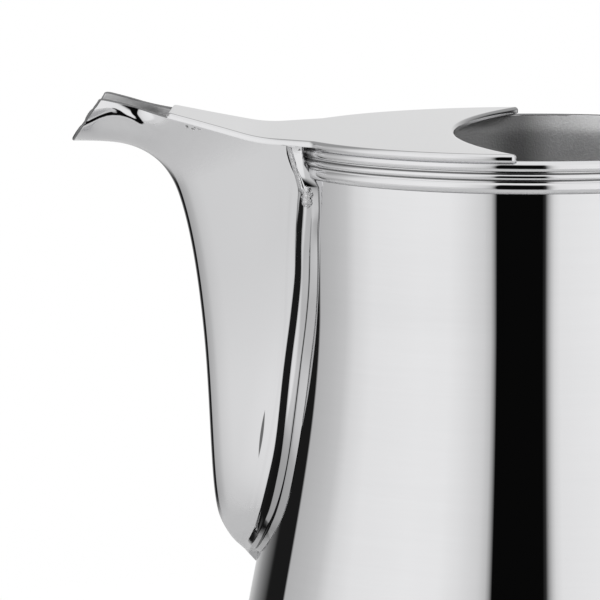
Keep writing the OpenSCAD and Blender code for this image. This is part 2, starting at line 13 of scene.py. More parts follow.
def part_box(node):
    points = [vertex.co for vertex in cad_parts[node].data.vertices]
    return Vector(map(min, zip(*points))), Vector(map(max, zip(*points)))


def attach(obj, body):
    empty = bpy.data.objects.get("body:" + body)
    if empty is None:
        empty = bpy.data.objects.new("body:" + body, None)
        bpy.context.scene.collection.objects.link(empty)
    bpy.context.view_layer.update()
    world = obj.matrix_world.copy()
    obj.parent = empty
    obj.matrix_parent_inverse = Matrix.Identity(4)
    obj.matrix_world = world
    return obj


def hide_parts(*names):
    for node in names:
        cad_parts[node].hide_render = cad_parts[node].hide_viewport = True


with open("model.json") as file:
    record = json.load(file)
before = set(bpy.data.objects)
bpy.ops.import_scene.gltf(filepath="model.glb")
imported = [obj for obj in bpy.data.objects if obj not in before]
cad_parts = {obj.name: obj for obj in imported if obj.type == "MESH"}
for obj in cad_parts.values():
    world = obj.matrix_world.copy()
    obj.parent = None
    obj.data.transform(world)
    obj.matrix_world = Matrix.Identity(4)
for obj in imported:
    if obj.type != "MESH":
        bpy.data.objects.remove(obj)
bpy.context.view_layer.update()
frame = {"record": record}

bl_info = {
    "name": "Coffee pot",
    "version": (1, 0, 0),
    "blender": (4, 5, 0),
    "location": "View3D > Sidebar > Coffee pot",
    "description": "Builds the visible pieces of a polished steel coffee pot round its packed frame",
    "category": "Object",
}

MM = 0.001
HINGE = frame["record"]["behaviour"]["joints"][0]["pos_m"]
OPEN_TURN = math.radians(-frame["record"]["behaviour"]["joints"][0]["range_deg"][0])


def length(name, description, millimetres):
    """A size of the pot, shown in the scene's unit."""
    return FloatProperty(
        name=name, description=description, default=millimetres * MM, unit="LENGTH", precision=5
    )


def share(name, description, default):
    """A plain number without a unit."""
    return FloatProperty(name=name, description=description, default=default)


def tilt(name, description, default):
    """An angle in radians."""
    return FloatProperty(name=name, description=description, default=default, unit="ROTATION")


def colour(name, description, default):
    """A finish's colour."""
    return FloatVectorProperty(
        name=name, description=description, default=default, size=3, subtype="COLOR", min=0, max=1
    )


class PotBodySizes(PropertyGroup):
    height: length("Height", "Mouth's edge above the table", 137)
    neck_r: length("Neck radius", "Outside radius of the straight neck", 43.8)
    belly_r: length("Belly radius", "Outside radius at the widest part", 55.4)
    belly_z: length("Belly height", "Height of the widest part", 20)
    foot_r: length("Foot radius", "Radius at which the rounded edge would reach the table", 46)
    neck_len: length("Neck length", "Straight neck below the mouth", 30)
    wall: length("Sheet", "Thickness of the body's sheet", 0.7)
    foot_h: length("Foot height", "Height of the foot below the body", 2.9)
    foot_w: length("Foot width", "Width of the ring that stands on the table", 3)
    recess: length("Recess", "Depth of the hollow under the base", 1.8)
    base_t: length("Base sheet", "Thickness of the base", 0.8)
    bead_out: length("Bead stand", "How far the beads stand out from the neck", 0.8)
    bead_top: length("Top bead", "Section radius of the top bead", 1.1)
    bead_mid: length("Middle bead", "Section radius of the middle bead", 0.6)
    bead_low: length("Bottom bead", "Section radius of the bottom bead", 1.25)
    window_w: length("Window half width", "Half width of the opening behind the spout", 9)
    window_h: length("Window height", "Height of the opening behind the spout", 26)


class PotSpoutSizes(PropertyGroup):
    reach: length("Reach", "Lip beyond the neck", 39.4)
    drop: length("Drop", "Spout's lowest point below the mouth", 76.1)
    lip_rake: length("Lip rake", "How far the lip's corners stand back from its point", 4.7)
    flare: length("Flare", "How far the walls turn out beside the crease", 1.3)
    lip_w: length("Lip width", "Half width of the lip in front of its waist", 6.5)
    lip_flare: length("Lip flare", "Gain in the lip's half width over the spout's whole reach", 5.2)
    lip_waist: share("Lip waist", "Share of the spout's reach at which the lip starts to flare", 0.78)
    lip_ridge: length("Lip ridge", "Height of the soft ridge along the lip's side", 0.4)
    lip_rise: length("Lip rise", "Lip's edge above the cover's underside", 0.4)
    slope: share("Wall slope", "Steepness of the side walls against the middle plane", 1.6)
    nose: length("Nose", "Rounding along the front edge", 8)
    sheet: length("Sheet", "Thickness of the spout's sheet", 0.7)
    crease_h: length("Crease height", "Stand of the crease above the body", 1.95)
    fillet: length("Fillet", "Extra stand of the solder fillet at the mouth", 1.95)


class PotCoverSizes(PropertyGroup):
    radius: length("Radius", "Outside radius of cover and lid", 45)
    under: length("Underside", "Height of the cover's underside", 137.1)
    thick: length("Thickness", "Thickness of the cover", 1.1)
    bend: length("Bend", "Distance from the neck to the tongue's bend", 5.2)
    slope: tilt("Slope", "Rise of the tongue", math.radians(13))
    lip_open: length("Open lip", "Length of the lip that the cover leaves open", 17.4)
    scoop_r: length("Scoop radius", "Radius of the scooped rear edge", 90)
    scoop_front: length("Scoop front", "Scoop's front edge before the middle of the mouth", 14.3)
    skirt_t: length("Skirt sheet", "Thickness of the turned-down edge", 0.5)
    skirt_z: length("Skirt edge", "Height of the turned-down edge's bottom", 136.75)
    lid_z: length("Lid height", "Underside of the closed lid", 138.45)
    lid_t: length("Lid thickness", "Thickness of the lid", 0.8)
    overlap: length("Overlap", "How far the lid laps over the cover", 3)


class PotHingeSizes(PropertyGroup):
    pin_r: length("Pin radius", "Radius of the hinge pin", 1)
    knuckle_r: length("Knuckle radius", "Outside radius of the knuckles", 2.2)
    leaf_w: length("Strap width", "Width of the lid's strap", 6)
    leaf_len: length("Strap length", "Length of the strap from the pin", 16)
    leaf_t: length("Strap thickness", "Thickness of the strap", 1)
    ear_y: length("Slot half width", "Half of the slot between the bracket's ears", 3.15)
    bracket_w: length("Bracket width", "Width over both ears", 11.9)
    arm_t: length("Arm thickness", "Thickness of the bracket's arm", 2.6)
    pad_h: length("Pad height", "Height of the bracket's foot on the neck", 6.6)
    lever_t: length("Lever thickness", "Thickness of the thumb lever", 1)
    lever_w: length("Lever width", "Width of the thumb pad", 11)
    lever_len: length("Lever length", "Reach of the lever from the pin", 21.496)
    lever_roll: length("Lever roll", "Radius of the lever's rolled end", 1.6)
    rivet_r: length("Rivet radius", "Radius of the rivets' shanks", 1)
    head_r: length("Head radius", "Radius of the rivets' heads", 1.8)
    head_h: length("Head height", "Height of the rivets' heads", 0.7)
    rivet_x: length("Rivet place", "First rivet from the pot's axis", 36.3)
    rivet_pitch: length("Rivet pitch", "Distance between the rivets", 4.6)
    rivet_count: IntProperty(name="Rivets", description="Rivets through lid, strap and lever", default=2)


class PotHandleSizes(PropertyGroup):
    upper_z: length("Upper joint", "Height of the upper socket", 117)
    lower_z: length("Lower joint", "Height of the lower socket", 40)
    reach: length("Reach", "Handle's middle beyond the neck", 43)
    socket_r: length("Socket radius", "Outside radius of the sockets", 6.2)
    socket_len: length("Socket length", "Length of the sockets from the body", 9)
    flare: length("Socket flare", "Widening of the sockets' roots", 1.8)
    tang_r: length("Tang radius", "Radius of the handle's ends", 4.4)
    tang_len: length("Tang length", "Depth of the handle's ends in the sockets", 6)
    grip_w: length("Grip width", "Half width of the grip", 7)
    grip_t: length("Grip thickness", "Half thickness of the grip", 4.6)
    pin_r: length("Pin radius", "Radius of the handle's pins", 1.25)
    pin_out: length("Pin stand", "How far the pins' ends stand out of the sockets", 0.6)


class PotStrainerSizes(PropertyGroup):
    lap: length("Lap", "Overlap of the perforated plate round its window", 3)
    thick: length("Thickness", "Thickness of the perforated plate", 0.5)
    hole_r: length("Hole radius", "Radius of the perforations", 1.3)
    pitch: length("Pitch", "Distance between the perforations", 4)
    columns: IntProperty(name="Columns", description="Perforations side by side", default=5)
    rows: IntProperty(name="Rows", description="Perforations above each other", default=5)


class PotFinishes(PropertyGroup):
    mirror: colour("Mirror steel", "Polished sheet outside", (0.80, 0.80, 0.81))
    satin: colour("Satin steel", "Unpolished sheet inside", (0.9, 0.9, 0.905))
    handle: colour("Handle steel", "Polished casting", (0.77, 0.77, 0.78))
    hinge: colour("Hinge steel", "Polished fittings", (0.75, 0.75, 0.76))
    gloss: share("Mirror roughness", "Roughness of the polished sheet", 0.012)
    dull: share("Satin roughness", "Roughness of the satin sheet", 0.33)


class PotStageSettings(PropertyGroup):
    distance: length("Distance", "Camera from the spout's plane", 1000)
    height: length("Height", "Camera above the table", 235.7)
    aim_x: length("Aim across", "Middle of the picture along the spout", -42.34)
    aim_z: length("Aim up", "Middle of the picture above the table", 107.07)
    lens: share("Lens", "Focal length in millimetres on a 36 mm sensor", 333.1)
    roll: tilt("Roll", "Turn of the camera", 0.002)
    floor_r: length("Floor", "Radius of the floor", 340)
    floor_fade: length("Floor fade", "Radius at which the floor starts to fade", 170)
    floor: colour("Floor colour", "Colour of the floor", (0.86, 0.86, 0.86))


GROUPS = {
    "pot_body": PotBodySizes,
    "pot_spout": PotSpoutSizes,
    "pot_cover": PotCoverSizes,
    "pot_hinge": PotHingeSizes,
    "pot_handle": PotHandleSizes,
    "pot_strainer": PotStrainerSizes,
    "pot_finish": PotFinishes,
    "pot_stage": PotStageSettings,
}


def read(context, name):
    """The values of one property group as plain numbers."""
    group = getattr(context.scene, name)
    values = {}
    for key in GROUPS[name].__annotations__:
        value = getattr(group, key)
        values[key] = tuple(value) if hasattr(value, "__len__") else value
    return SimpleNamespace(**values)


# Plain maths

def limit(t):
    return min(1.0, max(0.0, t))


def smooth(t):
    return t * t * (3 - 2 * t)


def ease(t):
    return smooth(limit(t))


def mix(a, b, t):
    return a + (b - a) * t


def along(table, t):
    """Value at t in a table of (place, value) pairs, straight between them."""
    for (a, low), (b, high) in zip(table, table[1:]):
        if t <= b:
            return mix(low, high, limit((t - a) / (b - a)))
    return table[-1][1]


def halve(test, low, high, steps=30):
    """Last place before test turns true between low and high."""
    for _ in range(steps):
        middle = (low + high) / 2
        if test(middle):
            high = middle
        else:
            low = middle
    return low


def arc(centre, radius, start, end, count):
    """Points on an arc in a plane, angles in degrees."""
    points = []
    for i in range(count + 1):
        angle = math.radians(mix(start, end, i / count))
        points.append((centre[0] + radius * math.cos(angle), centre[1] + radius * math.sin(angle)))
    return points


def circle(count):
    """Points round the unit circle."""
    angles = [math.tau * j / count for j in range(count)]
    return [(math.cos(a), math.sin(a)) for a in angles]


def bezier(a, b, c, d, t):
    return a * (1 - t) ** 3 + b * 3 * t * (1 - t) ** 2 + c * 3 * t * t * (1 - t) + d * t ** 3


def body_radius(body, z):
    """Outside radius of the body: rounded lower edge, flared bell and straight neck."""
    flare_z = body.height - body.neck_len
    if z >= flare_z:
        return body.neck_r
    if z >= body.belly_z:
        return mix(body.neck_r, body.belly_r, smooth((flare_z - z) / (flare_z - body.belly_z)))
    return mix(body.foot_r, body.belly_r, math.sqrt(max(0, 1 - ((body.belly_z - z) / body.belly_z) ** 2)))


def collar_low(body):
    """Height of the beaded rim's lower edge."""
    return body.height - 2 * (body.bead_top + body.bead_mid + body.bead_low)


def window_top(body):
    """Height of the upper edge of the opening behind the spout."""
    return collar_low(body) - 3 * MM


def rounded(corners, radius, steps=4):
    """A closed outline with its corners rounded; a corner is (x, y) or (x, y, its own radius)."""
    outline = []
    count = len(corners)
    for i, corner in enumerate(corners):
        own = corner[2] if len(corner) > 2 else radius
        here = Vector(corner[:2])
        before = Vector(corners[i - 1][:2]) - here
        after = Vector(corners[(i + 1) % count][:2]) - here
        angle = before.angle(after, math.pi)
        if own <= 0 or angle > math.radians(176):
            outline.append(tuple(here))
            continue
        back = min(own / math.tan(angle / 2), 0.48 * before.length, 0.48 * after.length)
        start = here + before.normalized() * back
        end = here + after.normalized() * back
        for k in range(steps + 1):
            t = k / steps
            outline.append(tuple(start * (1 - t) ** 2 + here * 2 * t * (1 - t) + end * t * t))
    return outline


# Mesh making

class Skin:
    """Collects rows of points and the faces between them, and turns them into an object."""

    def __init__(self):
        self.points = []
        self.faces = []
        self.finish = []

    def row(self, points):
        first = len(self.points)
        self.points.extend(Vector(p) for p in points)
        return list(range(first, len(self.points)))

    def face(self, indices, finish=0):
        self.faces.append(tuple(indices))
        self.finish.append(finish)

    def band(self, a, b, closed=False, finish=0, skip=()):
        """Quads between two rows of the same length."""
        count = len(a)
        for j in range(count if closed else count - 1):
            if j in skip:
                continue
            k = (j + 1) % count
            self.face((a[j], a[k], b[k], b[j]), finish)

    def loft(self, rows, closed=False):
        for a, b in zip(rows, rows[1:]):
            self.band(a, b, closed)

    def tube(self, rings):
        """Joins closed rings and closes both ends."""
        self.loft(rings, True)
        self.face(rings[0])
        self.face(rings[-1][::-1])

    def turn(self, profile, sides):
        """A profile of (radius, height) turned about the pot's axis."""
        rings = [self.row((r * c, r * s, z) for c, s in circle(sides)) for r, z in profile]
        self.loft(rings, True)
        return rings

    def rod(self, profile, sides, x=0, z=0):
        """A profile of (radius, place) turned about a line along Y."""
        rings = [self.row((x + r * c, y, z + r * s) for c, s in circle(sides)) for r, y in profile]
        self.loft(rings, True)

    def prism(self, outline, low, high):
        """An outline in the X-Z plane, drawn out along Y."""
        a = self.row((x, low, z) for x, z in outline)
        b = self.row((x, high, z) for x, z in outline)
        self.band(a, b, True)
        self.face(a)
        self.face(reversed(b))

    def build(self, name, materials, sharp=32, placed=None):
        mesh = bpy.data.meshes.new(name)
        mesh.from_pydata(self.points, [], self.faces)
        for material in materials:
            mesh.materials.append(material)
        mesh.polygons.foreach_set("material_index", self.finish)
        tidy_mesh(mesh, sharp)
        if placed is not None:
            mesh.transform(placed)
        piece = bpy.data.objects.new(name, mesh)
        bpy.context.scene.collection.objects.link(piece)
        return piece


def tidy_mesh(mesh, sharp=32):
    """Merges doubles, points faces outwards and shades smooth up to the given angle."""
    work = bmesh.new()
    work.from_mesh(mesh)
    bmesh.ops.remove_doubles(work, verts=work.verts, dist=0.0008 * MM)
    bmesh.ops.dissolve_degenerate(work, edges=work.edges, dist=0.0004 * MM)
    bmesh.ops.recalc_face_normals(work, faces=work.faces)
    for face in work.faces:
        face.smooth = True
    work.to_mesh(mesh)
    work.free()
    mesh.set_sharp_from_angle(angle=math.radians(sharp))
    mesh.update()


def settle(piece, sharp=32):
    """Turns a piece's modifiers into a plain mesh."""
    graph = bpy.context.evaluated_depsgraph_get()
    mesh = bpy.data.meshes.new_from_object(piece.evaluated_get(graph))
    mesh.name = piece.name
    piece.modifiers.clear()
    piece.data = mesh
    tidy_mesh(mesh, sharp)


def soften(piece, width, segments):
    """Rounds a piece's edges."""
    bevel = piece.modifiers.new("edges", "BEVEL")
    bevel.width = width
    bevel.segments = segments
    bevel.limit_method = "ANGLE"
    bevel.angle_limit = math.radians(50)
    bevel.harden_normals = False
    settle(piece)


def cut(piece, cutter):
    """Takes one solid out of another and removes the cutter."""
    carve = piece.modifiers.new("cut", "BOOLEAN")
    carve.operation = "DIFFERENCE"
    carve.solver = "EXACT"
    carve.object = cutter
    settle(piece)
    bpy.data.objects.remove(cutter)


def drill(piece, hinge, half):
    """Cuts the hinge pin's bore through a piece."""
    play = 0.03 * MM
    bore = Skin()
    bore.prism(arc((HINGE[0], HINGE[2]), hinge.pin_r + play, 0, 360, 32)[:-1], -half, half)
    cut(piece, bore.build("bore", []))


def give(piece, body, slot, *nodes):
    """Hangs a finished piece on what it rides on and hides the parts it stands for; slot, the name of its
    finish, is not used.
    """
    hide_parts(*nodes)
    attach(piece, body)


def opened():
    """Turns a piece of the lid, drawn closed, to the angle where the open lid rests."""
    at = Vector(HINGE)
    return Matrix.Translation(at) @ Matrix.Rotation(OPEN_TURN, 4, "Y") @ Matrix.Translation(-at)


# Node trees

class Wire:
    """A socket in a node tree; arithmetic on it adds Math nodes."""

    def __init__(self, tree, socket=None):
        self.tree = tree
        self.socket = socket

    def add(self, kind, settings=None, inputs=None, output=0):
        """Adds a node, sets it up, and sets or links its sockets."""
        node = self.tree.nodes.new(kind)
        for key, value in (settings or {}).items():
            if key == "stops":
                ramp = node.color_ramp
                while len(ramp.elements) < len(value):
                    ramp.elements.new(1.0)
                for element, (place, tone) in zip(ramp.elements, value):
                    element.position = place
                    element.color = (tone, tone, tone, 1)
            else:
                setattr(node, key, value)
        for key, value in (inputs or {}).items():
            if isinstance(value, Wire):
                self.tree.links.new(value.socket, node.inputs[key])
            else:
                node.inputs[key].default_value = value
        return Wire(self.tree, node.outputs[output]) if node.outputs else node

    def math(self, operation, *values):
        return self.add("ShaderNodeMath", {"operation": operation}, dict(enumerate(values)))

    def __add__(self, other):
        return self.math("ADD", self, other)

    __radd__ = __add__

    def __sub__(self, other):
        return self.math("SUBTRACT", self, other)

    def __rsub__(self, other):
        return self.math("SUBTRACT", other, self)

    def __mul__(self, other):
        return self.math("MULTIPLY", self, other)

    __rmul__ = __mul__

    def __truediv__(self, other):
        return self.math("DIVIDE", self, other)

    def __pow__(self, other):
        return self.math("POWER", self, other)

    def __abs__(self):
        return self.math("ABSOLUTE", self)

    def step(self, low, high):
        """0 below low, 1 above high, smooth between."""
        return self.add(
            "ShaderNodeMapRange",
            {"interpolation_type": "SMOOTHSTEP"},
            {"Value": self, "From Min": low, "From Max": high},
        )

    def part(self, index):
        return self.add("ShaderNodeSeparateXYZ", None, {0: self}, index)

    def scaled(self, x, y, z):
        return self.add("ShaderNodeVectorMath", {"operation": "MULTIPLY"}, {0: self, 1: (x, y, z)})

    def noise(self, scale, detail=2.0, rough=0.5):
        return self.add(
            "ShaderNodeTexNoise", None, {"Vector": self, "Scale": scale, "Detail": detail, "Roughness": rough}
        )

    def tint(self, low, high):
        """A colour between two, by this value."""
        return self.add(
            "ShaderNodeMix",
            {"data_type": "RGBA"},
            {0: self, 6: (*low, 1), 7: (*high, 1)},
            2,
        )

    def over(self, under, tone):
        """A colour, covered with a grey tone by this value."""
        grey = (tone, tone, tone, 1)
        return self.add("ShaderNodeMix", {"data_type": "RGBA"}, {0: self, 6: under, 7: grey}, 2)


def new_material(name, metallic=1.0):
    """A plain metal, a wire to its tree, its shader and its object coordinates."""
    material = bpy.data.materials.new(name)
    material.use_nodes = True
    tree = material.node_tree
    tree.nodes.clear()
    wire = Wire(tree)
    shader = tree.nodes.new("ShaderNodeBsdfPrincipled")
    shader.inputs["Metallic"].default_value = metallic
    output = tree.nodes.new("ShaderNodeOutputMaterial")
    tree.links.new(shader.outputs[0], output.inputs[0])
    spot = wire.add("ShaderNodeTexCoord", None, None, 3)
    return material, wire, shader, spot


def connect(wire, shader, **sockets):
    for name, value in sockets.items():
        wire.tree.links.new(value.socket, shader.inputs[name.replace("_", " ")])


def dimmed(tone, factor):
    return tuple(factor * c for c in tone)


def steel(name, tone, gloss, lines=(40, 40, 900), relief=0.012, wear=0.012):
    """Polished steel: cloudy polish, fine lines along the polishing wheel and faint scratches."""
    material, wire, shader, spot = new_material(name)
    cloud = spot.noise(38, 3, 0.55)
    line = spot.scaled(*lines).noise(1.0, 4, 0.6)
    scratch = spot.scaled(lines[2], lines[1] * 2.5, lines[0] * 2.5).noise(1.0, 2, 0.5).step(0.70, 0.76)
    connect(
        wire,
        shader,
        Base_Color=(cloud * 0.6 + line * 0.4).step(0.3, 0.7).tint(dimmed(tone, 0.975), tone),
        Roughness=gloss + wear * cloud.step(0.5, 0.8) + wear * scratch + 0.5 * wear * line.step(0.5, 0.85),
        Normal=wire.add(
            "ShaderNodeBump", None, {"Strength": relief, "Distance": 0.05 * MM, "Height": line + scratch}
        ),
    )
    return material


def beaded_steel(name, tone, gloss, grooves, solder_x=-1.0):
    """Polished beads with painted shade darkening the given grooves, between and below the beads, dulled
    where they are soldered.
    """
    material, wire, shader, spot = new_material(name)
    height = spot.part(2)
    cloud = spot.noise(60, 3, 0.55)
    line = spot.scaled(60, 60, 1400).noise(1.0, 3, 0.6)
    # painted shade: the base colour darkens along each groove
    unshaded = 1.0
    for z in grooves:
        unshaded = unshaded * abs(height - z + 0.08 * MM * (cloud - 0.5)).step(0.06 * MM, 0.26 * MM)
    smear = 1 - (spot.part(0) + 4 * MM * (cloud - 0.5)).step(solder_x, solder_x + 5 * MM)
    relief = spot.scaled(90, 90, 260).noise(1.0, 2, 0.5) + 0.05 * line
    connect(
        wire,
        shader,
        Base_Color=unshaded.tint(dimmed(tone, 0.22), tone),
        Roughness=gloss + 0.02 * cloud.step(0.5, 0.8) + 0.25 * (1 - unshaded) + 0.4 * smear,
        Normal=wire.add(
            "ShaderNodeBump", None, {"Strength": 0.25, "Distance": 0.12 * MM, "Height": relief}
        ),
    )
    return material


def satin_steel(name, tone, rough, edge_z):
    """Unpolished inside: a fine grain with soft rings from the drawing press, a turned-out edge and
    painted shade under the cover on its front half, lifted deep down at the front and inside the spout."""
    material, wire, shader, spot = new_material(name, 0.75)
    grain = spot.noise(2600, 2, 0.6)
    ring = spot.scaled(3, 3, 260).noise(1.0, 3, 0.5)
    cloud = spot.noise(45, 3, 0.5)
    across = spot.part(0) + 4 * MM * (cloud - 0.5)
    lower = 1 - spot.part(2).step(edge_z - 5 * MM, edge_z - 2 * MM)
    # painted light and shade in the base colour: dark under the cover, full tone towards the open rear,
    # lifted deep down at the front and inside the spout
    painted_light = across.step(-3 * MM, 5 * MM) + 0.4 * lower * (1 - across.step(-11 * MM, -4 * MM))
    painted_light = painted_light + 0.6 * (1 - across.step(-48 * MM, -45 * MM))
    grainy = (grain * 0.6 + cloud * 0.4).step(0.3, 0.7)
    edge = spot.part(2).step(edge_z - 5 * MM, edge_z) ** 2
    relief = 0.045 * grain + 0.02 * ring - 0.6 * edge
    connect(
        wire,
        shader,
        Base_Color=(painted_light * (0.88 + 0.12 * grainy)).tint(dimmed(tone, 0.3), tone),
        Roughness=rough + 0.10 * grain.step(0.3, 0.7) + 0.06 * cloud,
        Normal=wire.add("ShaderNodeBump", None, {"Strength": 1.0, "Distance": MM, "Height": relief}),
    )
    return material


def soldered_steel(name, tone, gloss, solder, joint, bell):
    """The spout's polished sheet: solder at its upper corners, painted shade on the flange round its foot,
    a narrow dark sliver on the wall in front that is a painted reflection where the sheet is dented, and
    small pitting below the cover darkened with painted shade.

    solder is the place of the solder; joint is where the cover's underside bends, its height and its
    rise; bell is the body's belly height, neck height, belly radius and neck radius."""
    solder_x, solder_y, solder_z = solder
    joint_x, joint_z, joint_rise = joint
    belly_z, neck_z, belly_r, neck_r = bell
    dent_x, dent_z = -48.9 * MM, 84 * MM
    material, wire, shader, spot = new_material(name)
    cloud = spot.noise(38, 3, 0.55)
    line = spot.scaled(500, 500, 30).noise(1.0, 4, 0.6)
    x, y, z = (spot.part(i) for i in range(3))
    side = abs(y)
    up = z - solder_z
    ragged = spot.noise(850, 2, 0.6)
    out = ((x - solder_x) / (1.1 * MM)) ** 2 + ((side - solder_y) / (2.6 * MM)) ** 2 + 2.4 * (ragged - 0.5)
    patch = 1 - (out + (up / (2.2 * MM)) ** 2).step(0.5, 1.1)
    fillet = 1 - abs(x - solder_x + 0.9 * MM + 0.27 * up).step(0.2 * MM, 0.5 * MM)
    fillet = fillet * up.step(0.8 * MM, 1.6 * MM) * side.step(8 * MM, 9 * MM)
    patch = patch.math("MAXIMUM", patch, fillet)
    lumps = patch * (0.8 * ragged + 1.2 * spot.noise(1300, 3, 0.65))
    # painted reflection: a narrow dark sliver in the base colour where the sheet is dented; the shape itself
    # has no hollow there
    across = abs(x - dent_x - 0.14 * (z - dent_z)) / (0.3 * MM)
    painted_dent_reflection = 1 - (across + ((z - dent_z) / (4.6 * MM)) ** 2).step(0.7, 1.1)
    painted_dent_reflection = painted_dent_reflection * (0 - y).step(0.0, 1 * MM)
    # painted shade: the base colour darkens where the sheet lies within 1.5 mm of the body, on the flange
    # round the spout's foot
    square = x * x + y * y
    stand = square.math("SQRT", square) - belly_r - (neck_r - belly_r) * z.step(belly_z, neck_z)
    flange = 1 - stand.step(1.5 * MM, 1.8 * MM)
    past_bend = 0 - x - joint_x
    rise = past_bend.math("MAXIMUM", past_bend, 0.0) * joint_rise
    seam = 1 - abs(z - joint_z - rise).step(0.1 * MM, 0.4 * MM)
    seam = seam * (x + 65 * MM).step(0.0, 0.5 * MM)
    # small pitting along the seam below the cover: rougher and sunken in relief, with painted shade darkening
    # it in the base colour
    pits_and_shade = seam * spot.noise(900, 1, 0.4).step(0.60, 0.66) * spot.noise(120, 1, 0.5).step(0.48, 0.56)
    connect(
        wire,
        shader,
        Base_Color=((1 - pits_and_shade * 0.8) * (1 - painted_dent_reflection) * (1 - 0.36 * flange)).tint(dimmed(tone, 0.2), tone),
        Roughness=gloss + 0.015 * cloud.step(0.5, 0.8) + 0.01 * line + 0.05 * patch + 0.3 * pits_and_shade,
        Normal=wire.add(
            "ShaderNodeBump",
            None,
            {"Strength": 1.0, "Distance": 0.5 * MM, "Height": lumps - 0.5 * pits_and_shade + 0.0015 * line},
        ),
    )
    return material


def finishes(context):
    """The pot's finishes, made once."""
    found = {m.name: m for m in bpy.data.materials}
    tone = read(context, "pot_finish")
    if "mirror_steel" not in found:
        cover = read(context, "pot_cover")
        body = read(context, "pot_body")
        # heights of painted shade lines: the grooves between the beads and the lowest bead's edge against the
        # neck
        first = body.height - 2 * body.bead_top
        second = first - 2 * body.bead_mid
        third = second - 2 * body.bead_low + 0.05 * MM
        smeared_x = -41 * MM
        beaded_steel("bead_steel", tone.mirror, tone.gloss, (first, second, third), smeared_x)
        # a painted shade line along the top of the mouth's rounded edge
        beaded_steel("edge_steel", tone.mirror, tone.gloss, (body.height - 0.03 * MM,))
        steel("mirror_steel", tone.mirror, tone.gloss)
        steel("plate_steel", tone.mirror, tone.gloss + 0.015, (900, 40, 40), 0.012)
        satin_steel("inside_steel", tone.satin, tone.dull, body.height)
        steel("grip_steel", tone.handle, tone.gloss + 0.05, (160, 700, 160), 0.03, 0.05)
        steel("cut_steel", dimmed(tone.mirror, 0.3), 0.3, (300, 300, 300), 0.1, 0.1)
        steel("fitting_steel", tone.hinge, tone.gloss + 0.07, (500, 60, 500), 0.04, 0.06)
        solder = (-40.1 * MM, 20.2 * MM, 128.2 * MM)
        joint = (body.neck_r + cover.bend, cover.under - 0.55 * MM, math.tan(cover.slope))
        bell = (body.belly_z, body.height - body.neck_len, body.belly_r, body.neck_r)
        soldered_steel("spout_steel", tone.mirror, tone.gloss, solder, joint, bell)
    return bpy.data.materials


# Pieces of sheet

def outline_normals(loop):
    """Outward directions along a closed outline that runs anticlockwise."""
    count = len(loop)
    ways = []
    for i in range(count):
        d = Vector(loop[(i + 1) % count]) - Vector(loop[i - 1])
        ways.append(Vector((d[1], -d[0])).normalized())
    return ways


class Plate:
    """A plate between a far edge and a near edge, with rounded rims and a turned-down skirt.

    left and right are edges with the same number of points, from -Y to +Y; top and under give the
    heights at x, and skirt gives a share from 0 to 1 for each point of the outline."""

    def __init__(self, left, right, tip_low, tip_high, top, under, edge, steps):
        self.left = left
        self.right = right
        self.tips = (tip_low, tip_high)
        self.top = top
        self.under = under
        self.edge = edge
        self.steps = steps

    def build(self, skin, skirt, skirt_z, skirt_t):
        tip_low, tip_high = self.tips
        count = len(self.right)
        loop = list(tip_low) + list(self.right) + list(tip_high) + list(reversed(self.left))
        ways = outline_normals(loop)
        places = [Vector(p) for p in loop]
        drop = [skirt(p) for p in places]
        sharp = 0.02 * MM
        skirt_round = 0.75 * MM
        skirt_in = 0.3 * MM

        base = [mix(self.under(p[0]), skirt_z, drop[i]) for i, p in enumerate(places)]
        half = [(self.top(p[0]) - base[i]) / 2 for i, p in enumerate(places)]
        round_top = [mix(self.edge, min(half[i], skirt_round), part) for i, part in enumerate(drop)]
        round_low = [mix(sharp, min(half[i], skirt_round), part) for i, part in enumerate(drop)]
        under_in = [mix(sharp, skirt_in, part) for part in drop]

        def ring(inset, height):
            points = []
            for i, p in enumerate(places):
                q = p - ways[i] * inset(i)
                points.append((q[0], q[1], height(q[0], i)))
            return points

        rows = []
        for k in range(8):
            a = math.radians(90 - 90 * k / 7)
            rows.append(ring(
                lambda i, a=a: round_top[i] * (1 - math.cos(a)),
                lambda x, i, a=a: self.top(x) - round_top[i] * (1 - math.sin(a)),
            ))
        for k in range(6):
            a = math.radians(90 * k / 5)
            rows.append(ring(
                lambda i, a=a: under_in[i] * (1 - math.cos(a)),
                lambda x, i, a=a: base[i] + round_low[i] * (1 - math.sin(a)),
            ))
        rows.append(ring(lambda i: skirt_t, lambda x, i: base[i]))
        rows.append(ring(lambda i: skirt_t, lambda x, i: self.under(x)))
        rings = [skin.row(r) for r in rows]
        skin.loft(rings, True)
        self.fill(skin, rings[0], rows[0], count, self.top)
        self.fill(skin, rings[-1], rows[-1], count, self.under)

    def fill(self, skin, ring, points, count, height):
        """Covers the inside of a ring with lines from the left edge to the right edge."""
        tip_low, tip_high = self.tips
        first = len(tip_low)
        second = first + count + len(tip_high)
        lines = []
        for i in range(count):
            r = first + i
            l = second + count - 1 - i
            a = Vector(points[l])
            b = Vector(points[r])
            inner = []
            for k in range(1, self.steps):
                p = a.lerp(b, k / self.steps)
                inner.append((p[0], p[1], height(p[0])))
            lines.append([ring[l]] + skin.row(inner) + [ring[r]])
        skin.loft(lines)
        skin.face(list(reversed(lines[0])) + ring[0:first][::1] if tip_low else lines[0])
        skin.face(lines[-1][::-1] + ring[first + count:second][::-1])


# The lip's soft ridge: share of the spout's reach, and share of the way from keel to rim.
LIP_RIDGE = (
    (0.66, 0.52), (0.699, 0.603), (0.72, 0.65), (0.742, 0.697), (0.761, 0.732), (0.78, 0.753),
    (0.805, 0.757), (0.831, 0.757), (0.869, 0.743), (0.903, 0.715), (0.925, 0.673), (0.948, 0.615),
    (0.971, 0.53), (1.0, 0.42),
)


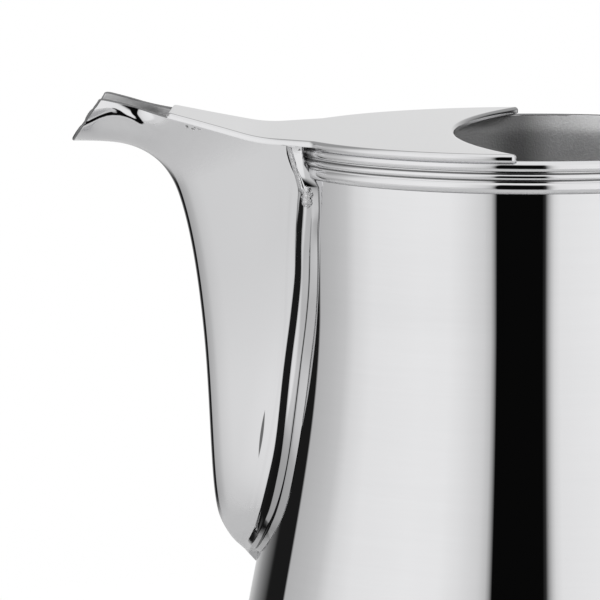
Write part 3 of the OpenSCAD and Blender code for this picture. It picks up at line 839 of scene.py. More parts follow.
class SpoutForm:
    """The spout's outer surface: ribs run from the keel until they meet the body or the cover."""

    # The keel: share of the reach, and share of the drop.
    marks = (
        (0.051, 1.0), (0.091, 0.984), (0.1345, 0.967), (0.1954, 0.928), (0.2348, 0.888), (0.2817, 0.811),
        (0.3464, 0.656), (0.3959, 0.501), (0.4353, 0.347), (0.4726, 0.231), (0.5127, 0.150), (0.5482, 0.104),
        (0.599, 0.066), (0.670, 0.0375), (0.7614, 0.0184), (0.8756, 0.0118), (1.0, 0.0105),
    )
    rake_from = 0.62
    turn_over = 0.14
    flare_band = 7 * MM
    ripple_h = 0.03 * MM
    ripple_len = 1.1 * MM
    ripple_middle = 2.9 * MM
    ripple_span = 1.5 * MM
    rib_limit = 36 * MM
    lip_draw = 1.2 * MM
    lip_swell = 12 * MM
    lip_curl = 200 * MM
    waist_gain = 110 * MM
    ridge_end = 0.22 * MM
    ridge_sharp = 7.3 / 0.62

    def __init__(self, context):
        self.body = read(context, "pot_body")
        self.spout = read(context, "pot_spout")
        self.cover = read(context, "pot_cover")
        self.rims = {}
        b, s = self.body, self.spout
        line = []
        for k, m in self.marks:
            z = b.height - s.drop * m
            line.append(Vector((-body_radius(b, z) - s.reach * k, z)))
        line = [2 * line[0] - line[1]] + line + [2 * line[-1] - line[-2]]
        inner = [p - (before - 2 * p + after) / 6 for before, p, after in zip(line, line[1:], line[2:])]
        self.line = [2 * inner[0] - inner[1]] + inner + [2 * inner[-1] - inner[-2]]
        self.end_x = -b.neck_r - s.reach + self.cover.lip_open

    def cover_under(self, x):
        u = -x - self.body.neck_r - self.cover.bend
        soft = 3.0 * MM
        run = 0 if u < -soft else u if u > soft else (u + soft) ** 2 / (4 * soft)
        return self.cover.under + run * math.tan(self.cover.slope)

    def keel(self, v):
        last = len(self.line) - 3
        t = v * last
        i = max(0, min(int(t), last - 1))
        f = t - i
        a, b, c, d = self.line[i:i + 4]
        g = 1 - f
        near = b * (3 * f ** 3 - 6 * f * f + 4) + c * (3 * g ** 3 - 6 * g * g + 4)
        return (a * g ** 3 + near + d * f ** 3) / 6

    def way_out(self, v):
        """Share of the reach at a place on the keel."""
        p = self.keel(v)
        return (-p[0] - body_radius(self.body, p[1])) / self.spout.reach

    def rib_way(self, v):
        e = 0.002
        run = self.keel(min(1, v + e)) - self.keel(max(0, v - e))
        square_way = Vector((run[1], -run[0])).normalized()
        rake = self.spout.lip_rake
        rise = self.cover_under(-self.body.neck_r - self.spout.reach + rake) - self.body.height
        rake_way = Vector((rake, rise)).normalized()
        raked = ease((self.way_out(v) - self.rake_from) / (1 - self.rake_from))
        return square_way.lerp(rake_way, raked).normalized()

    def point(self, v, d, way=None):
        """A point on the outer surface: a V with a rounded keel, which turns round at the lip."""
        p = self.keel(v) + d * (way or self.rib_way(v))
        out = self.way_out(v)
        s = self.spout
        half = math.sqrt(max(0, d * (d + 2 * s.nose))) / s.slope
        turned = ease((out - self.rake_from) / self.turn_over)
        if turned > 0:
            half = mix(half, self.bulb(out, limit(d / self.rim_depth(v))), turned)
        above = self.stand((p[0], half, p[1]))
        if above < self.flare_band:
            half += s.flare * limit(1 - above / self.flare_band) ** 2
            near = limit(1 - abs(above - self.ripple_middle) / self.ripple_span)
            half += self.ripple_h * math.sin(math.tau * above / self.ripple_len) * near
        return Vector((p[0], half, p[1]))

    def bulb(self, out, t):
        """Half width of the lip's section: a round belly, a soft ridge and a flare, with a waist behind."""
        s = self.spout
        past = out - s.lip_waist
        ridge = along(LIP_RIDGE, out)
        above = limit((t - ridge) / (1 - ridge))
        half = s.lip_w - self.lip_draw * past
        if past < 0:
            wide = self.waist_gain * past ** 2
        else:
            wide = s.lip_flare * past + self.lip_curl * past ** 4
            half += self.lip_swell * past ** 3
        if t < ridge:
            low = 1 - t / ridge
            half *= math.sqrt(1 - low ** 2) * (1 - 0.08 * low)
        late = ease((past - 0.03) / 0.12)
        flare_run = mix(0.4, 0.65, late)
        near_rim = ease((above - 0.4) / 0.6)
        spread = ease((above - 0.09 * late) / flare_run) * mix(1, 0.6, near_rim)
        begun = ease((out - 0.68) / 0.05)
        thinned = ease((out - 0.8) / 0.16)
        at_end = ease((out - 0.955) / 0.045)
        high = mix(s.lip_ridge, self.ridge_end, thinned) * begun * (1 - 0.7 * at_end)
        fall = (t - ridge) * self.ridge_sharp
        return half + spread * wide + high * math.exp(-fall * fall)

    def rim_depth(self, v):
        """Length of a rib up to the rim."""
        if v not in self.rims:
            start, way = self.keel(v), self.rib_way(v)

            def over(d):
                p = start + d * way
                return p[1] >= self.brim(p[0])

            self.rims[v] = halve(over, 0, self.rib_limit)
        return self.rims[v]

    def brim(self, x):
        """Height of the spout's upper edge: along the cover, then up to the lip's rounded corner."""
        corner = max(0, self.end_x - 11 * MM - x) / MM
        rise = self.spout.lip_rise * ease((self.end_x - 0.5 * MM - x) / (9 * MM))
        return self.cover_under(x) + 0.04 * MM + rise - 0.12 * MM * corner ** 2

    def on_cut_edge(self, p):
        """Whether a point lies on the lip's cut edge: on its rim or on its end."""
        way = self.rib_way(1)
        past = (Vector((p[0], p[2])) - self.keel(1)).dot(Vector((-way[1], way[0])))
        return p[0] < self.end_x and (p[2] > self.brim(p[0]) + 0.06 * MM or past > 0.06 * MM)

    def stand(self, p):
        """Height of a point above the body's surface."""
        return math.hypot(p[0], p[1]) - body_radius(self.body, p[2])

    def crease(self, z):
        """Stand of the crease between wall and flange: fuller half way up, at the foot and at the mouth."""
        middle = max(0, 1 - ((z - 97 * MM) / (18 * MM)) ** 2) ** 2
        at_foot = ease((67 * MM - z) / (5.5 * MM))
        at_neck = ease((z - 114 * MM) / (10 * MM))
        at_mouth = ease((z - 128.5 * MM) / (9 * MM))
        stand = self.spout.crease_h + 0.7 * MM * middle + 0.75 * MM * at_foot
        return stand + 0.2 * MM * at_neck + self.spout.fillet * at_mouth

    def landing(self, z):
        """Height at which the flange ends: on the body, and on the beads above."""
        return mix(0.08 * MM, 0.35 * MM, ease((z - 130.8 * MM) / (1.5 * MM)))

    def edge(self, z):
        """Angle of the flange's outer edge from the spout's plane."""
        spread = [along(FLANGE_EDGE, z / MM + k) for k in (-1.6, -0.8, 0, 0.8, 1.6)]
        return math.radians(sum(spread) / len(spread))

    def depth(self, v):
        way = self.rib_way(v)

        def stop(d):
            p = self.point(v, d, way)
            return p[2] >= self.brim(p[0]) or self.stand(p) <= self.crease(p[2])

        return halve(stop, 0, self.rib_limit)

    def at_brim(self, v):
        p = self.point(v, self.depth(v) + 0.02 * MM)
        return p[2] >= self.brim(p[0])

    def foot(self):
        """Place on the keel where it comes down to the crease's height."""

        def clear(v):
            k = self.keel(v)
            return self.stand((k[0], 0, k[1])) > self.crease(k[1])

        return halve(clear, 0.0, 0.1)

    def corner(self):
        return halve(self.at_brim, 0.5, 0.8)


# Steepness across the flange, by share of its width.
FLANGE_SLOPE = (
    (0.0, 1), (0.015, 0), (0.42, 0), (0.45, 1), (0.65, 1), (0.675, -0.4), (0.75, -0.4), (0.78, 1), (1.0, 1.2),
)
# Angle of the flange's outer edge in degrees, by height in millimetres.
FLANGE_EDGE = (
    (59.0, 0), (60.2, 6.5), (62, 11), (64, 14.8), (66, 17.8), (68, 20.3), (70.4, 22.3), (74.3, 23.8),
    (80, 24.4), (86, 25), (92, 25.9), (98.9, 27), (104.4, 28.3), (110, 29.5), (115.3, 30), (120.6, 30.3),
    (124.9, 31), (131.6, 31), (133, 27.2), (137, 26.6),
)


def flange_path(width, fall, flat, bend, shaped, plain, crowd, steps):
    """Ways out and down across the flange: a flat land, a slope, a narrow step and a slope to the edge."""
    fine = 120
    steepest = math.radians(80)
    back_slope = math.radians(15)

    def walk(steep):
        out, down = [0.0], [0.0]
        for i in range(fine):
            level = flat - bend * out[-1] * (out[-1] < 0.4 * width)
            place = ((i + 0.5) / fine) ** crowd
            part = mix(1, along(FLANGE_SLOPE, place), shaped * (1 - plain * (place > 0.5)))
            angle = min(steepest, level + part * (steep - level if part > 0 else back_slope))
            out.append(out[-1] + width / fine * math.cos(angle))
            down.append(down[-1] + width / fine * math.sin(angle))
        return out, down

    steep = halve(lambda t: walk(t)[1][-1] > fall, 0.0, 1.3, 22)
    out, down = walk(steep)
    pick = [round(fine * i / steps) for i in range(1, steps + 1)]
    return [(out[i], down[i]) for i in pick]


def spout_skin(form):
    """The spout as a closed sheet: rings from foot to lip, each from the keel out and back inside."""
    low_count, high_count, across, lap = 120, 84, 44, 40
    crowding = 1.9
    flange_t = 0.6 * MM
    least_stand = 0.03 * MM
    widest = 14 * MM
    land_slope = math.radians(13)
    land_limit = math.radians(27.5)
    foot, corner = form.foot(), form.corner()
    places = [mix(foot, corner, (i / low_count) ** crowding) for i in range(low_count + 1)]
    places += [mix(corner, 1, i / high_count) for i in range(1, high_count + 1)]
    sheet = form.spout.sheet
    wall = []
    for v in places:
        deep = form.depth(v) if v > foot else 0.0
        way = form.rib_way(v)
        spread = [0.5 - 0.5 * math.cos(math.pi * j / across) for j in range(across + 1)]
        wall.append([form.point(v, deep * t, way) for t in spread])
    rings = len(wall)

    def facing(i, j):
        lengthways = wall[min(rings - 1, i + 1)][j] - wall[max(0, i - 1)][j]
        sideways = wall[i][min(across, j + 1)] - wall[i][max(0, j - 1)]
        n = lengthways.cross(sideways)
        if j == 0:
            n = Vector((n[0], 0, n[2]))
        return n.normalized() if n.length > 1e-15 else Vector((-1, 0, 0))

    normals = [[facing(max(i, 1), j) for j in range(across + 1)] for i in range(rings)]
    ends = [row[-1] for row in wall]
    angle = [math.atan2(p[1], -p[0]) for p in ends]
    ways = []
    for i in range(low_count + 1):
        a, b = max(0, i - 2), min(low_count, i + 2)
        r = math.hypot(ends[i][0], ends[i][1])
        ahead = Vector((r * (angle[b] - angle[a]), ends[b][2] - ends[a][2]))
        ways.append(Vector((0, -1)) if i == 0 else Vector((ahead[1], -ahead[0])).normalized())
    skin = Skin()
    outer_rows = []
    for i in range(rings):
        outer = list(wall[i])
        inner = [p - n * sheet for p, n in zip(wall[i], normals[i])]
        p = ends[i]
        if i <= low_count:
            h = form.stand(p)
            fall = max(0.0, h - form.landing(p[2]))
            around = math.hypot(p[0], p[1])

            def passed(out):
                return angle[i] + ways[i][0] * out / around >= form.edge(p[2] + ways[i][1] * out)

            width = max(1.02 * fall, halve(passed, 0, widest))
            flat = ways[i][0] * max(0, min(land_slope, land_limit - angle[i]))
            shaped = ease(ways[i][0] * 1.3 - 0.3)
            plain = ease((p[2] - 124.5 * MM) / (2.5 * MM))
            crowd = mix(1, 1.25, ease((p[2] - 117 * MM) / (8 * MM)))
            path = flange_path(width, fall, flat, ways[i][0] / around, shaped, plain, crowd, lap)
            over, below = [], []
            for out, down in path:
                z = p[2] + ways[i][1] * out
                turn = angle[i] + ways[i][0] * out / around
                for rows, stand in ((over, h - down), (below, max(least_stand, h - down - flange_t))):
                    r = body_radius(form.body, z) + stand
                    rows.append(Vector((-r * math.cos(turn), r * math.sin(turn), z)))
            outer += over
            inner += below
        else:
            n = normals[i][-1]
            rim = (wall[i][-1] - wall[i][-2]).normalized()
            middle = p - n * sheet / 2
            for k in range(1, lap + 1):
                a = math.pi * k / lap
                outer.append(middle + (n * math.cos(a) + rim * math.sin(a)) * sheet / 2)
            inner += [outer[-1]] * lap
        outer_rows.append((outer, inner))

    def ring_of(outer, inner):
        half = outer + inner[::-1]
        mirrored = [Vector((p[0], -p[1], p[2])) for p in half[::-1]]
        return skin.row(half + mirrored)

    rows = [ring_of(outer, inner) for outer, inner in outer_rows]
    outer, inner = outer_rows[-1]
    tail = rings - 1
    for a in (30, 60, 90):
        a = math.radians(a)
        tip_outer, tip_inner = [], []
        for j in range(across + lap + 1):
            base = min(j, across)
            run = (wall[tail][base] - wall[tail - 1][base]).normalized()
            middle = wall[tail][base] - normals[tail][base] * sheet / 2
            tip_outer.append(middle + (outer[j] - middle) * math.cos(a) + run * math.sin(a) * sheet / 2)
            tip_inner.append(middle + (inner[j] - middle) * math.cos(a) + run * math.sin(a) * sheet / 2)
        rows.append(ring_of(tip_outer, tip_inner))
    skin.loft(rows, True)
    return skin, [(p[0], p[1]) for p in ends[low_count:]]


def tongue_width(ends, x):
    """Half width of the spout's upper edge at x, from the corner's end to the lip's end."""
    if x >= ends[0][0]:
        (x1, w1), (x2, w2) = ends[0], ends[1]
        return w1 + (x - x1) * (w2 - w1) / (x2 - x1)
    for (x1, w1), (x2, w2) in zip(ends, ends[1:]):
        if x2 <= x:
            return mix(w1, w2, (x1 - x) / (x1 - x2))
    return ends[-1][1]


HORN_R = 0.8 * MM


def horn_middle(cover, reach):
    """Middle of the small arc that rounds a horn, at a distance from the scoop's middle."""
    scoop_x = cover.scoop_r - cover.scoop_front
    a = cover.radius - HORN_R
    x = (a * a + scoop_x * scoop_x - reach * reach) / (2 * scoop_x)
    return x, math.sqrt(a * a - x * x)


def horn(x, y, start, end):
    """Points of the small arc that rounds a horn, without its ends."""
    turns = [mix(start, end, k / 8) for k in range(1, 8)]
    return [(x + HORN_R * math.cos(t), y + HORN_R * math.sin(t)) for t in turns]


def both_sides(half):
    """A half edge that starts on the middle line, with its mirror image before it."""
    return [(x, -y) for x, y in reversed(half[1:])] + half


def scooped(edge, stretch, middle, radius):
    """Points of the scoop's circle, one for each point of the edge across from it."""
    points = []
    for place in edge:
        y = place[1] * stretch
        points.append((middle - math.sqrt(radius ** 2 - y * y), y))
    return points


def cover_skin(form, ends):
    """The fixed cover: a circle over the front of the mouth, a tongue on the spout, a scooped rear edge."""
    cover = form.cover
    skin = Skin()
    scoop_x = cover.scoop_r - cover.scoop_front
    cx, cy = horn_middle(cover, cover.scoop_r + HORN_R)
    start = math.atan2(cy, -cx)
    join_x = halve(lambda x: tongue_width(ends, x) ** 2 + x * x < cover.radius ** 2, -50 * MM, -36 * MM)
    join = math.atan2(tongue_width(ends, join_x), -join_x)
    tongue_steps, rim_steps = 44, 80
    chamfer = 0.2 * MM
    corner_w = tongue_width(ends, form.end_x)
    half = [(form.end_x, y * corner_w) for y in (0.0, 0.2, 0.4, 0.6, 0.75, 0.85, 0.93)]
    half += [(form.end_x + chamfer, corner_w - chamfer)]
    for i in range(1, tongue_steps + 1):
        x = mix(form.end_x, join_x, i / tongue_steps)
        half.append((x, tongue_width(ends, x)))
    on_rim = len(half)
    for i in range(1, rim_steps + 1):
        a = mix(join, start, i / rim_steps)
        half.append((-cover.radius * math.cos(a), cover.radius * math.sin(a)))
    left = both_sides(half)
    way = Vector((scoop_x - cx, -cy)).normalized()
    stretch = (cy + way[1] * HORN_R) / half[-1][1]
    right = scooped(left, stretch, scoop_x, cover.scoop_r)
    high = horn(cx, cy, math.atan2(way[1], way[0]), math.atan2(cy, cx))
    low = [(x, -y) for x, y in reversed(high)]

    def top(x):
        return form.cover_under(x) + cover.thick

    def skirt(p):
        on_circle = ease((p.length - cover.radius + 0.7 * MM) / (0.5 * MM))
        beside = ease((abs(p[1]) - half[on_rim][1] - 0.3 * MM) / (1.2 * MM))
        outside = 1 - ease((p.length - cover.radius - 0.05 * MM) / (0.05 * MM))
        return on_circle * beside * outside

    plate = Plate(left, right, low, high, top, form.cover_under, 0.65 * MM, 56)
    plate.build(skin, skirt, cover.skirt_z, cover.skirt_t)
    return skin


def lid_skin(cover):
    """The hinged lid, drawn closed: the rest of the circle, lapping over the cover's scooped edge."""
    skin = Skin()
    scoop_x = cover.scoop_r - cover.scoop_front
    reach = cover.scoop_r + cover.overlap - 0.02 * MM
    cx, cy = horn_middle(cover, reach - HORN_R)
    start = math.atan2(cy, cx)
    rim_steps = 90
    turns = [start * i / rim_steps for i in range(rim_steps + 1)]
    half = [(cover.radius * math.cos(turn), cover.radius * math.sin(turn)) for turn in turns]
    right = both_sides(half)
    way = Vector((cx - scoop_x, cy)).normalized()
    stretch = (cy + way[1] * HORN_R) / half[-1][1]
    left = scooped(right, stretch, scoop_x, reach)
    high = horn(cx, cy, start, math.atan2(way[1], way[0]))
    low = [(x, -y) for x, y in reversed(high)]
    edge_x = horn_middle(cover, cover.scoop_r + HORN_R)[0]

    def top(x):
        return cover.lid_z + cover.lid_t

    def under(x):
        return cover.lid_z

    def skirt(p):
        on_circle = ease((p.length - cover.radius + 0.05 * MM) / (0.04 * MM))
        return on_circle * ease((p[0] - edge_x - 2.2 * MM) / (2 * MM))

    plate = Plate(left, right, low, high, top, under, 0.35 * MM, 40)
    plate.build(skin, skirt, cover.skirt_z, cover.skirt_t)
    return skin


# Operators

class POT_OT_body(Operator):
    """Makes the bell-shaped body and the base with its foot ring"""
    bl_idname = "pot.body"
    bl_label = "Body and base"

    segments = 240

    def execute(self, context):
        body = read(context, "pot_body")
        looks = finishes(context)
        give(self.shell(body, looks), "pot", "polished_steel", "body_shell")
        give(self.base(body, looks), "pot", "polished_steel", "base_cup")
        return {"FINISHED"}

    def shell(self, body, looks):
        high = window_top(body)
        low = high - body.window_h
        foot_rows, bell_rows, window_rows, neck_rows = 26, 56, 16, 12
        shares = [math.sin(math.pi / 2 * i / foot_rows) for i in range(foot_rows)]
        heights = [mix(body.foot_h, body.belly_z, share) for share in shares]
        heights += [mix(body.belly_z, low, i / bell_rows) for i in range(bell_rows)]
        heights += [mix(low, high, i / window_rows) for i in range(window_rows + 1)]
        rim = 0.3 * MM
        heights += [mix(high, body.height - rim, i / neck_rows) for i in range(1, neck_rows + 1)]
        outer = [(body_radius(body, z), z) for z in heights]
        edge = arc((body.neck_r - rim, body.height - rim), rim, 0, 180, 8)[1:-1]
        inner = []
        for r, z in reversed(outer):
            flare = limit((z - body.height + 4.5 * MM) / (4.5 * MM)) ** 2
            inner.append((r - mix(body.wall, 0.6 * MM, flare), z))
        profile = outer + edge + inner
        skin = Skin()
        count = self.segments
        rows = [skin.row((-r * c, r * s, z) for c, s in circle(count)) for r, z in profile]
        gate = round(count * math.degrees(math.asin(body.window_w / body.neck_r)) / 360)
        hole = [j % count for j in range(-gate, gate)]
        first = foot_rows + bell_rows
        last = first + window_rows
        mirror = len(profile) - 1
        middle = len(outer) + len(edge)
        for i in range(len(rows) - 1):
            cutout = first <= i < last or mirror - last <= i < mirror - first
            finish = 0 if i < len(outer) - 1 else 2 if i < middle else 1
            skin.band(rows[i], rows[i + 1], True, finish, hole if cutout else ())
        skin.band(rows[-1], rows[0], True, 0)
        for i in range(first, last):
            for j in (-gate % count, gate):
                skin.face((rows[i][j], rows[i + 1][j], rows[mirror - i - 1][j], rows[mirror - i][j]), 1)
        for i in (first, last):
            for j in hole:
                k = (j + 1) % count
                skin.face((rows[i][j], rows[i][k], rows[mirror - i][k], rows[mirror - i][j]), 1)
        return skin.build("pot_body", [looks["mirror_steel"], looks["inside_steel"], looks["edge_steel"]])

    def base(self, body, looks):
        outer = body_radius(body, body.foot_h) - body.wall / 2
        edge = 0.6 * MM
        inside = outer - body.foot_w - 2 * edge - body.recess
        corners = [
            (inside, body.recess, 1.2 * MM),
            (outer - body.foot_w - edge, 0, 1.2 * MM),
            (outer - edge * 0.4, 0, 1.0 * MM),
            (outer, body.foot_h, 0),
            (inside - body.base_t, body.foot_h, 0.1 * MM),
            (inside - body.base_t, body.recess + body.base_t, 0.1 * MM),
        ]
        outline = rounded(corners, edge, 6)
        profile = [(0.0, body.recess)] + outline + [(0.0, body.recess + body.base_t)]
        skin = Skin()
        rings = skin.turn(profile, self.segments)
        skin.band(rings[-1], rings[0], True)
        return skin.build("pot_base", [looks["mirror_steel"]])


class POT_OT_collar(Operator):
    """Makes the applied rim with its three beads"""
    bl_idname = "pot.collar"
    bl_label = "Beaded rim"

    segments = 260
    gap = math.radians(24)

    def execute(self, context):
        body = read(context, "pot_body")
        looks = finishes(context)
        outer = body.neck_r + body.bead_out
        back = body.neck_r + 0.05 * MM
        groove = back + body.bead_out / 2
        z = body.height
        profile = [(back, z - 0.4 * MM)]
        for r, first in ((body.bead_top, back), (body.bead_mid, groove), (body.bead_low, groove)):
            last = back if r == body.bead_low else groove
            centre = (outer - r, z - r)
            high = math.degrees(math.acos((first - centre[0]) / r))
            low = -math.degrees(math.acos((last - centre[0]) / r))
            profile += arc(centre, r, high, low, 22)
            z -= 2 * r
        profile += [(back, z + 0.5 * MM)]
        end = math.pi - self.gap
        skin = Skin()
        rings = []
        for j in range(self.segments + 1):
            a = mix(-end, end, j / self.segments)
            rings.append(skin.row((r * math.cos(a), r * math.sin(a), h) for r, h in profile))
        skin.tube(rings)
        give(skin.build("rim_beads", [looks["bead_steel"]], 40), "pot", "polished_steel", "rim_collar")
        return {"FINISHED"}


class POT_OT_spout(Operator):
    """Makes the spout with its flange, and the fixed cover that closes it"""
    bl_idname = "pot.spout"
    bl_label = "Spout and cover"

    def execute(self, context):
        looks = finishes(context)
        form = SpoutForm(context)
        skin, ends = spout_skin(form)
        spout = skin.build("spout", [looks["spout_steel"], looks["cut_steel"], looks["inside_steel"]], 60)
        for face in spout.data.polygons:
            at = face.center
            inside = face.normal.dot(at - Vector((at[0], 0, form.brim(at[0])))) < 0
            if form.on_cut_edge(at):
                face.material_index = 1
            elif inside and form.stand(at) > 3 * MM:
                face.material_index = 2
            else:
                face.material_index = 0
        give(spout, "pot", "polished_steel", "spout_left_half", "spout_right_half", "spout_flange")
        cover = cover_skin(form, ends).build("mouth_cover", [looks["plate_steel"]], 50)
        give(cover, "pot", "polished_steel", "front_cover")
        return {"FINISHED"}


def geometry_tree(name, inputs):
    """A node group with named inputs; returns the group, a wire and the inputs' wires."""
    group = bpy.data.node_groups.new(name, "GeometryNodeTree")
    group.is_modifier = True
    for label, kind in inputs:
        group.interface.new_socket(name=label, in_out="INPUT", socket_type="NodeSocket" + kind)
    group.interface.new_socket(name="Geometry", in_out="OUTPUT", socket_type="NodeSocketGeometry")
    source = group.nodes.new("NodeGroupInput")
    wires = {label: Wire(group, source.outputs[label]) for label, _ in inputs}
    return group, Wire(group), wires


def grown(name, group, values, placed=None, sharp=32):
    """Runs a node group on an empty mesh and keeps the result as a plain piece."""
    piece = bpy.data.objects.new(name, bpy.data.meshes.new(name))
    bpy.context.scene.collection.objects.link(piece)
    modifier = piece.modifiers.new("nodes", "NODES")
    modifier.node_group = group
    for item in group.interface.items_tree:
        if item.in_out == "INPUT":
            modifier[item.identifier] = values[item.name]
    settle(piece, sharp)
    if not piece.data.polygons:
        raise RuntimeError(name + ": the node group made no faces")
    if placed is not None:
        piece.data.transform(placed)
    return piece


def finish_tree(wire, geometry, material):
    """Ends a tree in Realize Instances and Set Material."""
    real = wire.add("GeometryNodeRealizeInstances", None, {"Geometry": geometry})
    painted = wire.add("GeometryNodeSetMaterial", None, {"Geometry": real, "Material": material})
    wire.add("NodeGroupOutput", None, {"Geometry": painted})


class POT_OT_strainer(Operator):
    """Makes the perforated plate behind the spout with a node group"""
    bl_idname = "pot.strainer"
    bl_label = "Strainer"

    def tree(self):
        group, wire, given = geometry_tree("perforated_plate", (
            ("Width", "Float"), ("Height", "Float"), ("Thickness", "Float"), ("Hole Radius", "Float"),
            ("Pitch", "Float"), ("Columns", "Int"), ("Rows", "Int"), ("Radius", "Float"), ("Middle", "Float"),
            ("Material", "Material"),
        ))
        sides = {0: given["Width"], 1: given["Height"], 2: given["Thickness"]}
        size = wire.add("ShaderNodeCombineXYZ", None, sides)
        plate = wire.add(
            "GeometryNodeMeshCube", None, {"Size": size, "Vertices X": 25, "Vertices Y": 33, "Vertices Z": 2}
        )
        spots = wire.add("GeometryNodeMeshGrid", None, {
            "Size X": given["Pitch"] * (given["Columns"] - 1),
            "Size Y": given["Pitch"] * (given["Rows"] - 1),
            "Vertices X": given["Columns"],
            "Vertices Y": given["Rows"],
        })
        punch = wire.add("GeometryNodeMeshCylinder", None, {
            "Vertices": 24, "Radius": given["Hole Radius"], "Depth": given["Thickness"] * 4,
        })
        punches = wire.add("GeometryNodeInstanceOnPoints", None, {"Points": spots, "Instance": punch})
        punches = wire.add("GeometryNodeRealizeInstances", None, {"Geometry": punches})
        cut = {"Mesh 1": plate, "Mesh 2": punches}
        holed = wire.add("GeometryNodeMeshBoolean", {"operation": "DIFFERENCE"}, cut)
        flat = wire.add("GeometryNodeInputPosition")
        angle = flat.part(0) / given["Radius"]
        reach = given["Radius"] - given["Thickness"] / 2 + flat.part(2)
        bent = wire.add("ShaderNodeCombineXYZ", None, {
            0: 0 - reach * angle.math("COSINE", angle),
            1: reach * angle.math("SINE", angle),
            2: flat.part(1) + given["Middle"],
        })
        curved = wire.add("GeometryNodeSetPosition", None, {"Geometry": holed, "Position": bent})
        finish_tree(wire, curved, given["Material"])
        return group

    def execute(self, context):
        body = read(context, "pot_body")
        sizes = read(context, "pot_strainer")
        looks = finishes(context)
        piece = grown("strainer_plate", self.tree(), {
            "Width": 2 * (body.window_w + sizes.lap),
            "Height": body.window_h + 2 * sizes.lap,
            "Thickness": sizes.thick,
            "Hole Radius": sizes.hole_r,
            "Pitch": sizes.pitch,
            "Columns": sizes.columns,
            "Rows": sizes.rows,
            "Radius": body.neck_r - body.wall - 0.05 * MM,
            "Middle": window_top(body) - body.window_h / 2,
            "Material": looks["inside_steel"],
        })
        give(piece, "pot", "satin_steel", "spout_strainer")
        return {"FINISHED"}


class POT_OT_lid(Operator):
    """Makes the hinged rear lid, its strap and its thumb lever"""
    bl_idname = "pot.lid"
    bl_label = "Lid"

    def execute(self, context):
        cover = read(context, "pot_cover")
        hinge = read(context, "pot_hinge")
        looks = finishes(context)
        coats = [looks["plate_steel"], looks["inside_steel"]]
        plate = lid_skin(cover).build("lid_sheet", coats, 50, opened())
        down = opened().to_3x3() @ Vector((0, 0, -1))
        for face in plate.data.polygons:
            if face.normal.dot(down) > 0.9:
                face.material_index = 1
        give(plate, "lid", "polished_steel", "lid_plate")
        give(self.strap(cover, hinge, looks), "lid", "hinge_steel", "hinge_leaf")
        give(self.lever(cover, hinge, looks), "lid", "hinge_steel", "thumb_lever")
        return {"FINISHED"}

    def strap(self, cover, hinge, looks):
        x, z = HINGE[0], HINGE[2]
        low = cover.lid_z + cover.lid_t
        high = low + hinge.leaf_t
        k = hinge.knuckle_r
        top = math.degrees(math.acos(-math.sqrt(k * k - (high - z) ** 2) / k))
        bottom = math.degrees(math.acos(-math.sqrt(k * k - (low - z) ** 2) / k))
        outline = arc((x, z), k, top, bottom - 360, 40)
        outline += [(x - hinge.leaf_len, low), (x - hinge.leaf_len, high)]
        skin = Skin()
        skin.prism(outline, -hinge.leaf_w / 2, hinge.leaf_w / 2)
        strap = skin.build("lid_strap", [looks["fitting_steel"]])
        drill(strap, hinge, hinge.leaf_w)
        soften(strap, 0.16 * MM, 2)
        strap.data.transform(opened())
        return strap

    def lever(self, cover, hinge, looks):
        x, z = HINGE[0], HINGE[2]
        base_z = cover.lid_z + cover.lid_t + hinge.leaf_t
        t = hinge.lever_t
        rise = math.radians(60)
        foot = Vector((x - hinge.leaf_len, base_z + t / 2))
        base = Vector((x - hinge.knuckle_r, base_z))
        tip = Vector((x + hinge.lever_len * math.cos(rise), z + hinge.lever_len * math.sin(rise)))
        d = (tip - base).normalized()
        n = Vector((-d[1], d[0]))
        end = tip + n * t / 2
        start = base + n * t / 2
        bend = start + d * ((base_z + t / 2 - start[1]) / d[1])
        bow = 2.4 * MM
        into = bend - Vector((bow, 0))
        onward = bend + d * bow
        line = [foot.lerp(into, i / 10) for i in range(11)]
        for i in range(1, 9):
            s = i / 8
            line.append(into * (1 - s) ** 2 + bend * 2 * s * (1 - s) + onward * s * s)
        line += [onward.lerp(end, i / 14) for i in range(1, 15)]
        skin = Skin()
        rings = []
        total = len(line) - 1
        for i, p in enumerate(line):
            run = (line[min(total, i + 1)] - line[max(0, i - 1)]).normalized()
            up = Vector((-run[1], run[0]))
            spread = ease((p[0] - (x - hinge.knuckle_r)) / (tip[0] - x + hinge.knuckle_r - 1.5 * MM))
            w = mix(hinge.leaf_w, hinge.lever_w, spread) / 2
            section = rounded([(w, t / 2), (-w, t / 2), (-w, -t / 2), (w, -t / 2)], 0.32 * MM, 4)
            rings.append(skin.row((p[0] + up[0] * b, a, p[1] + up[1] * b) for a, b in section))
        skin.tube(rings)
        half = hinge.lever_w / 2
        r = hinge.lever_roll
        soft = 0.45 * MM
        nick = 0.13 * MM
        profile = [(0.0, -half), (r - soft, -half), (r - nick, -half + nick), (r, -half + soft)]
        profile += [(q, -y) for q, y in reversed(profile)]
        skin.rod(profile, 32, end[0], end[1])
        return skin.build("thumb_lever_sheet", [looks["fitting_steel"]], 40, opened())


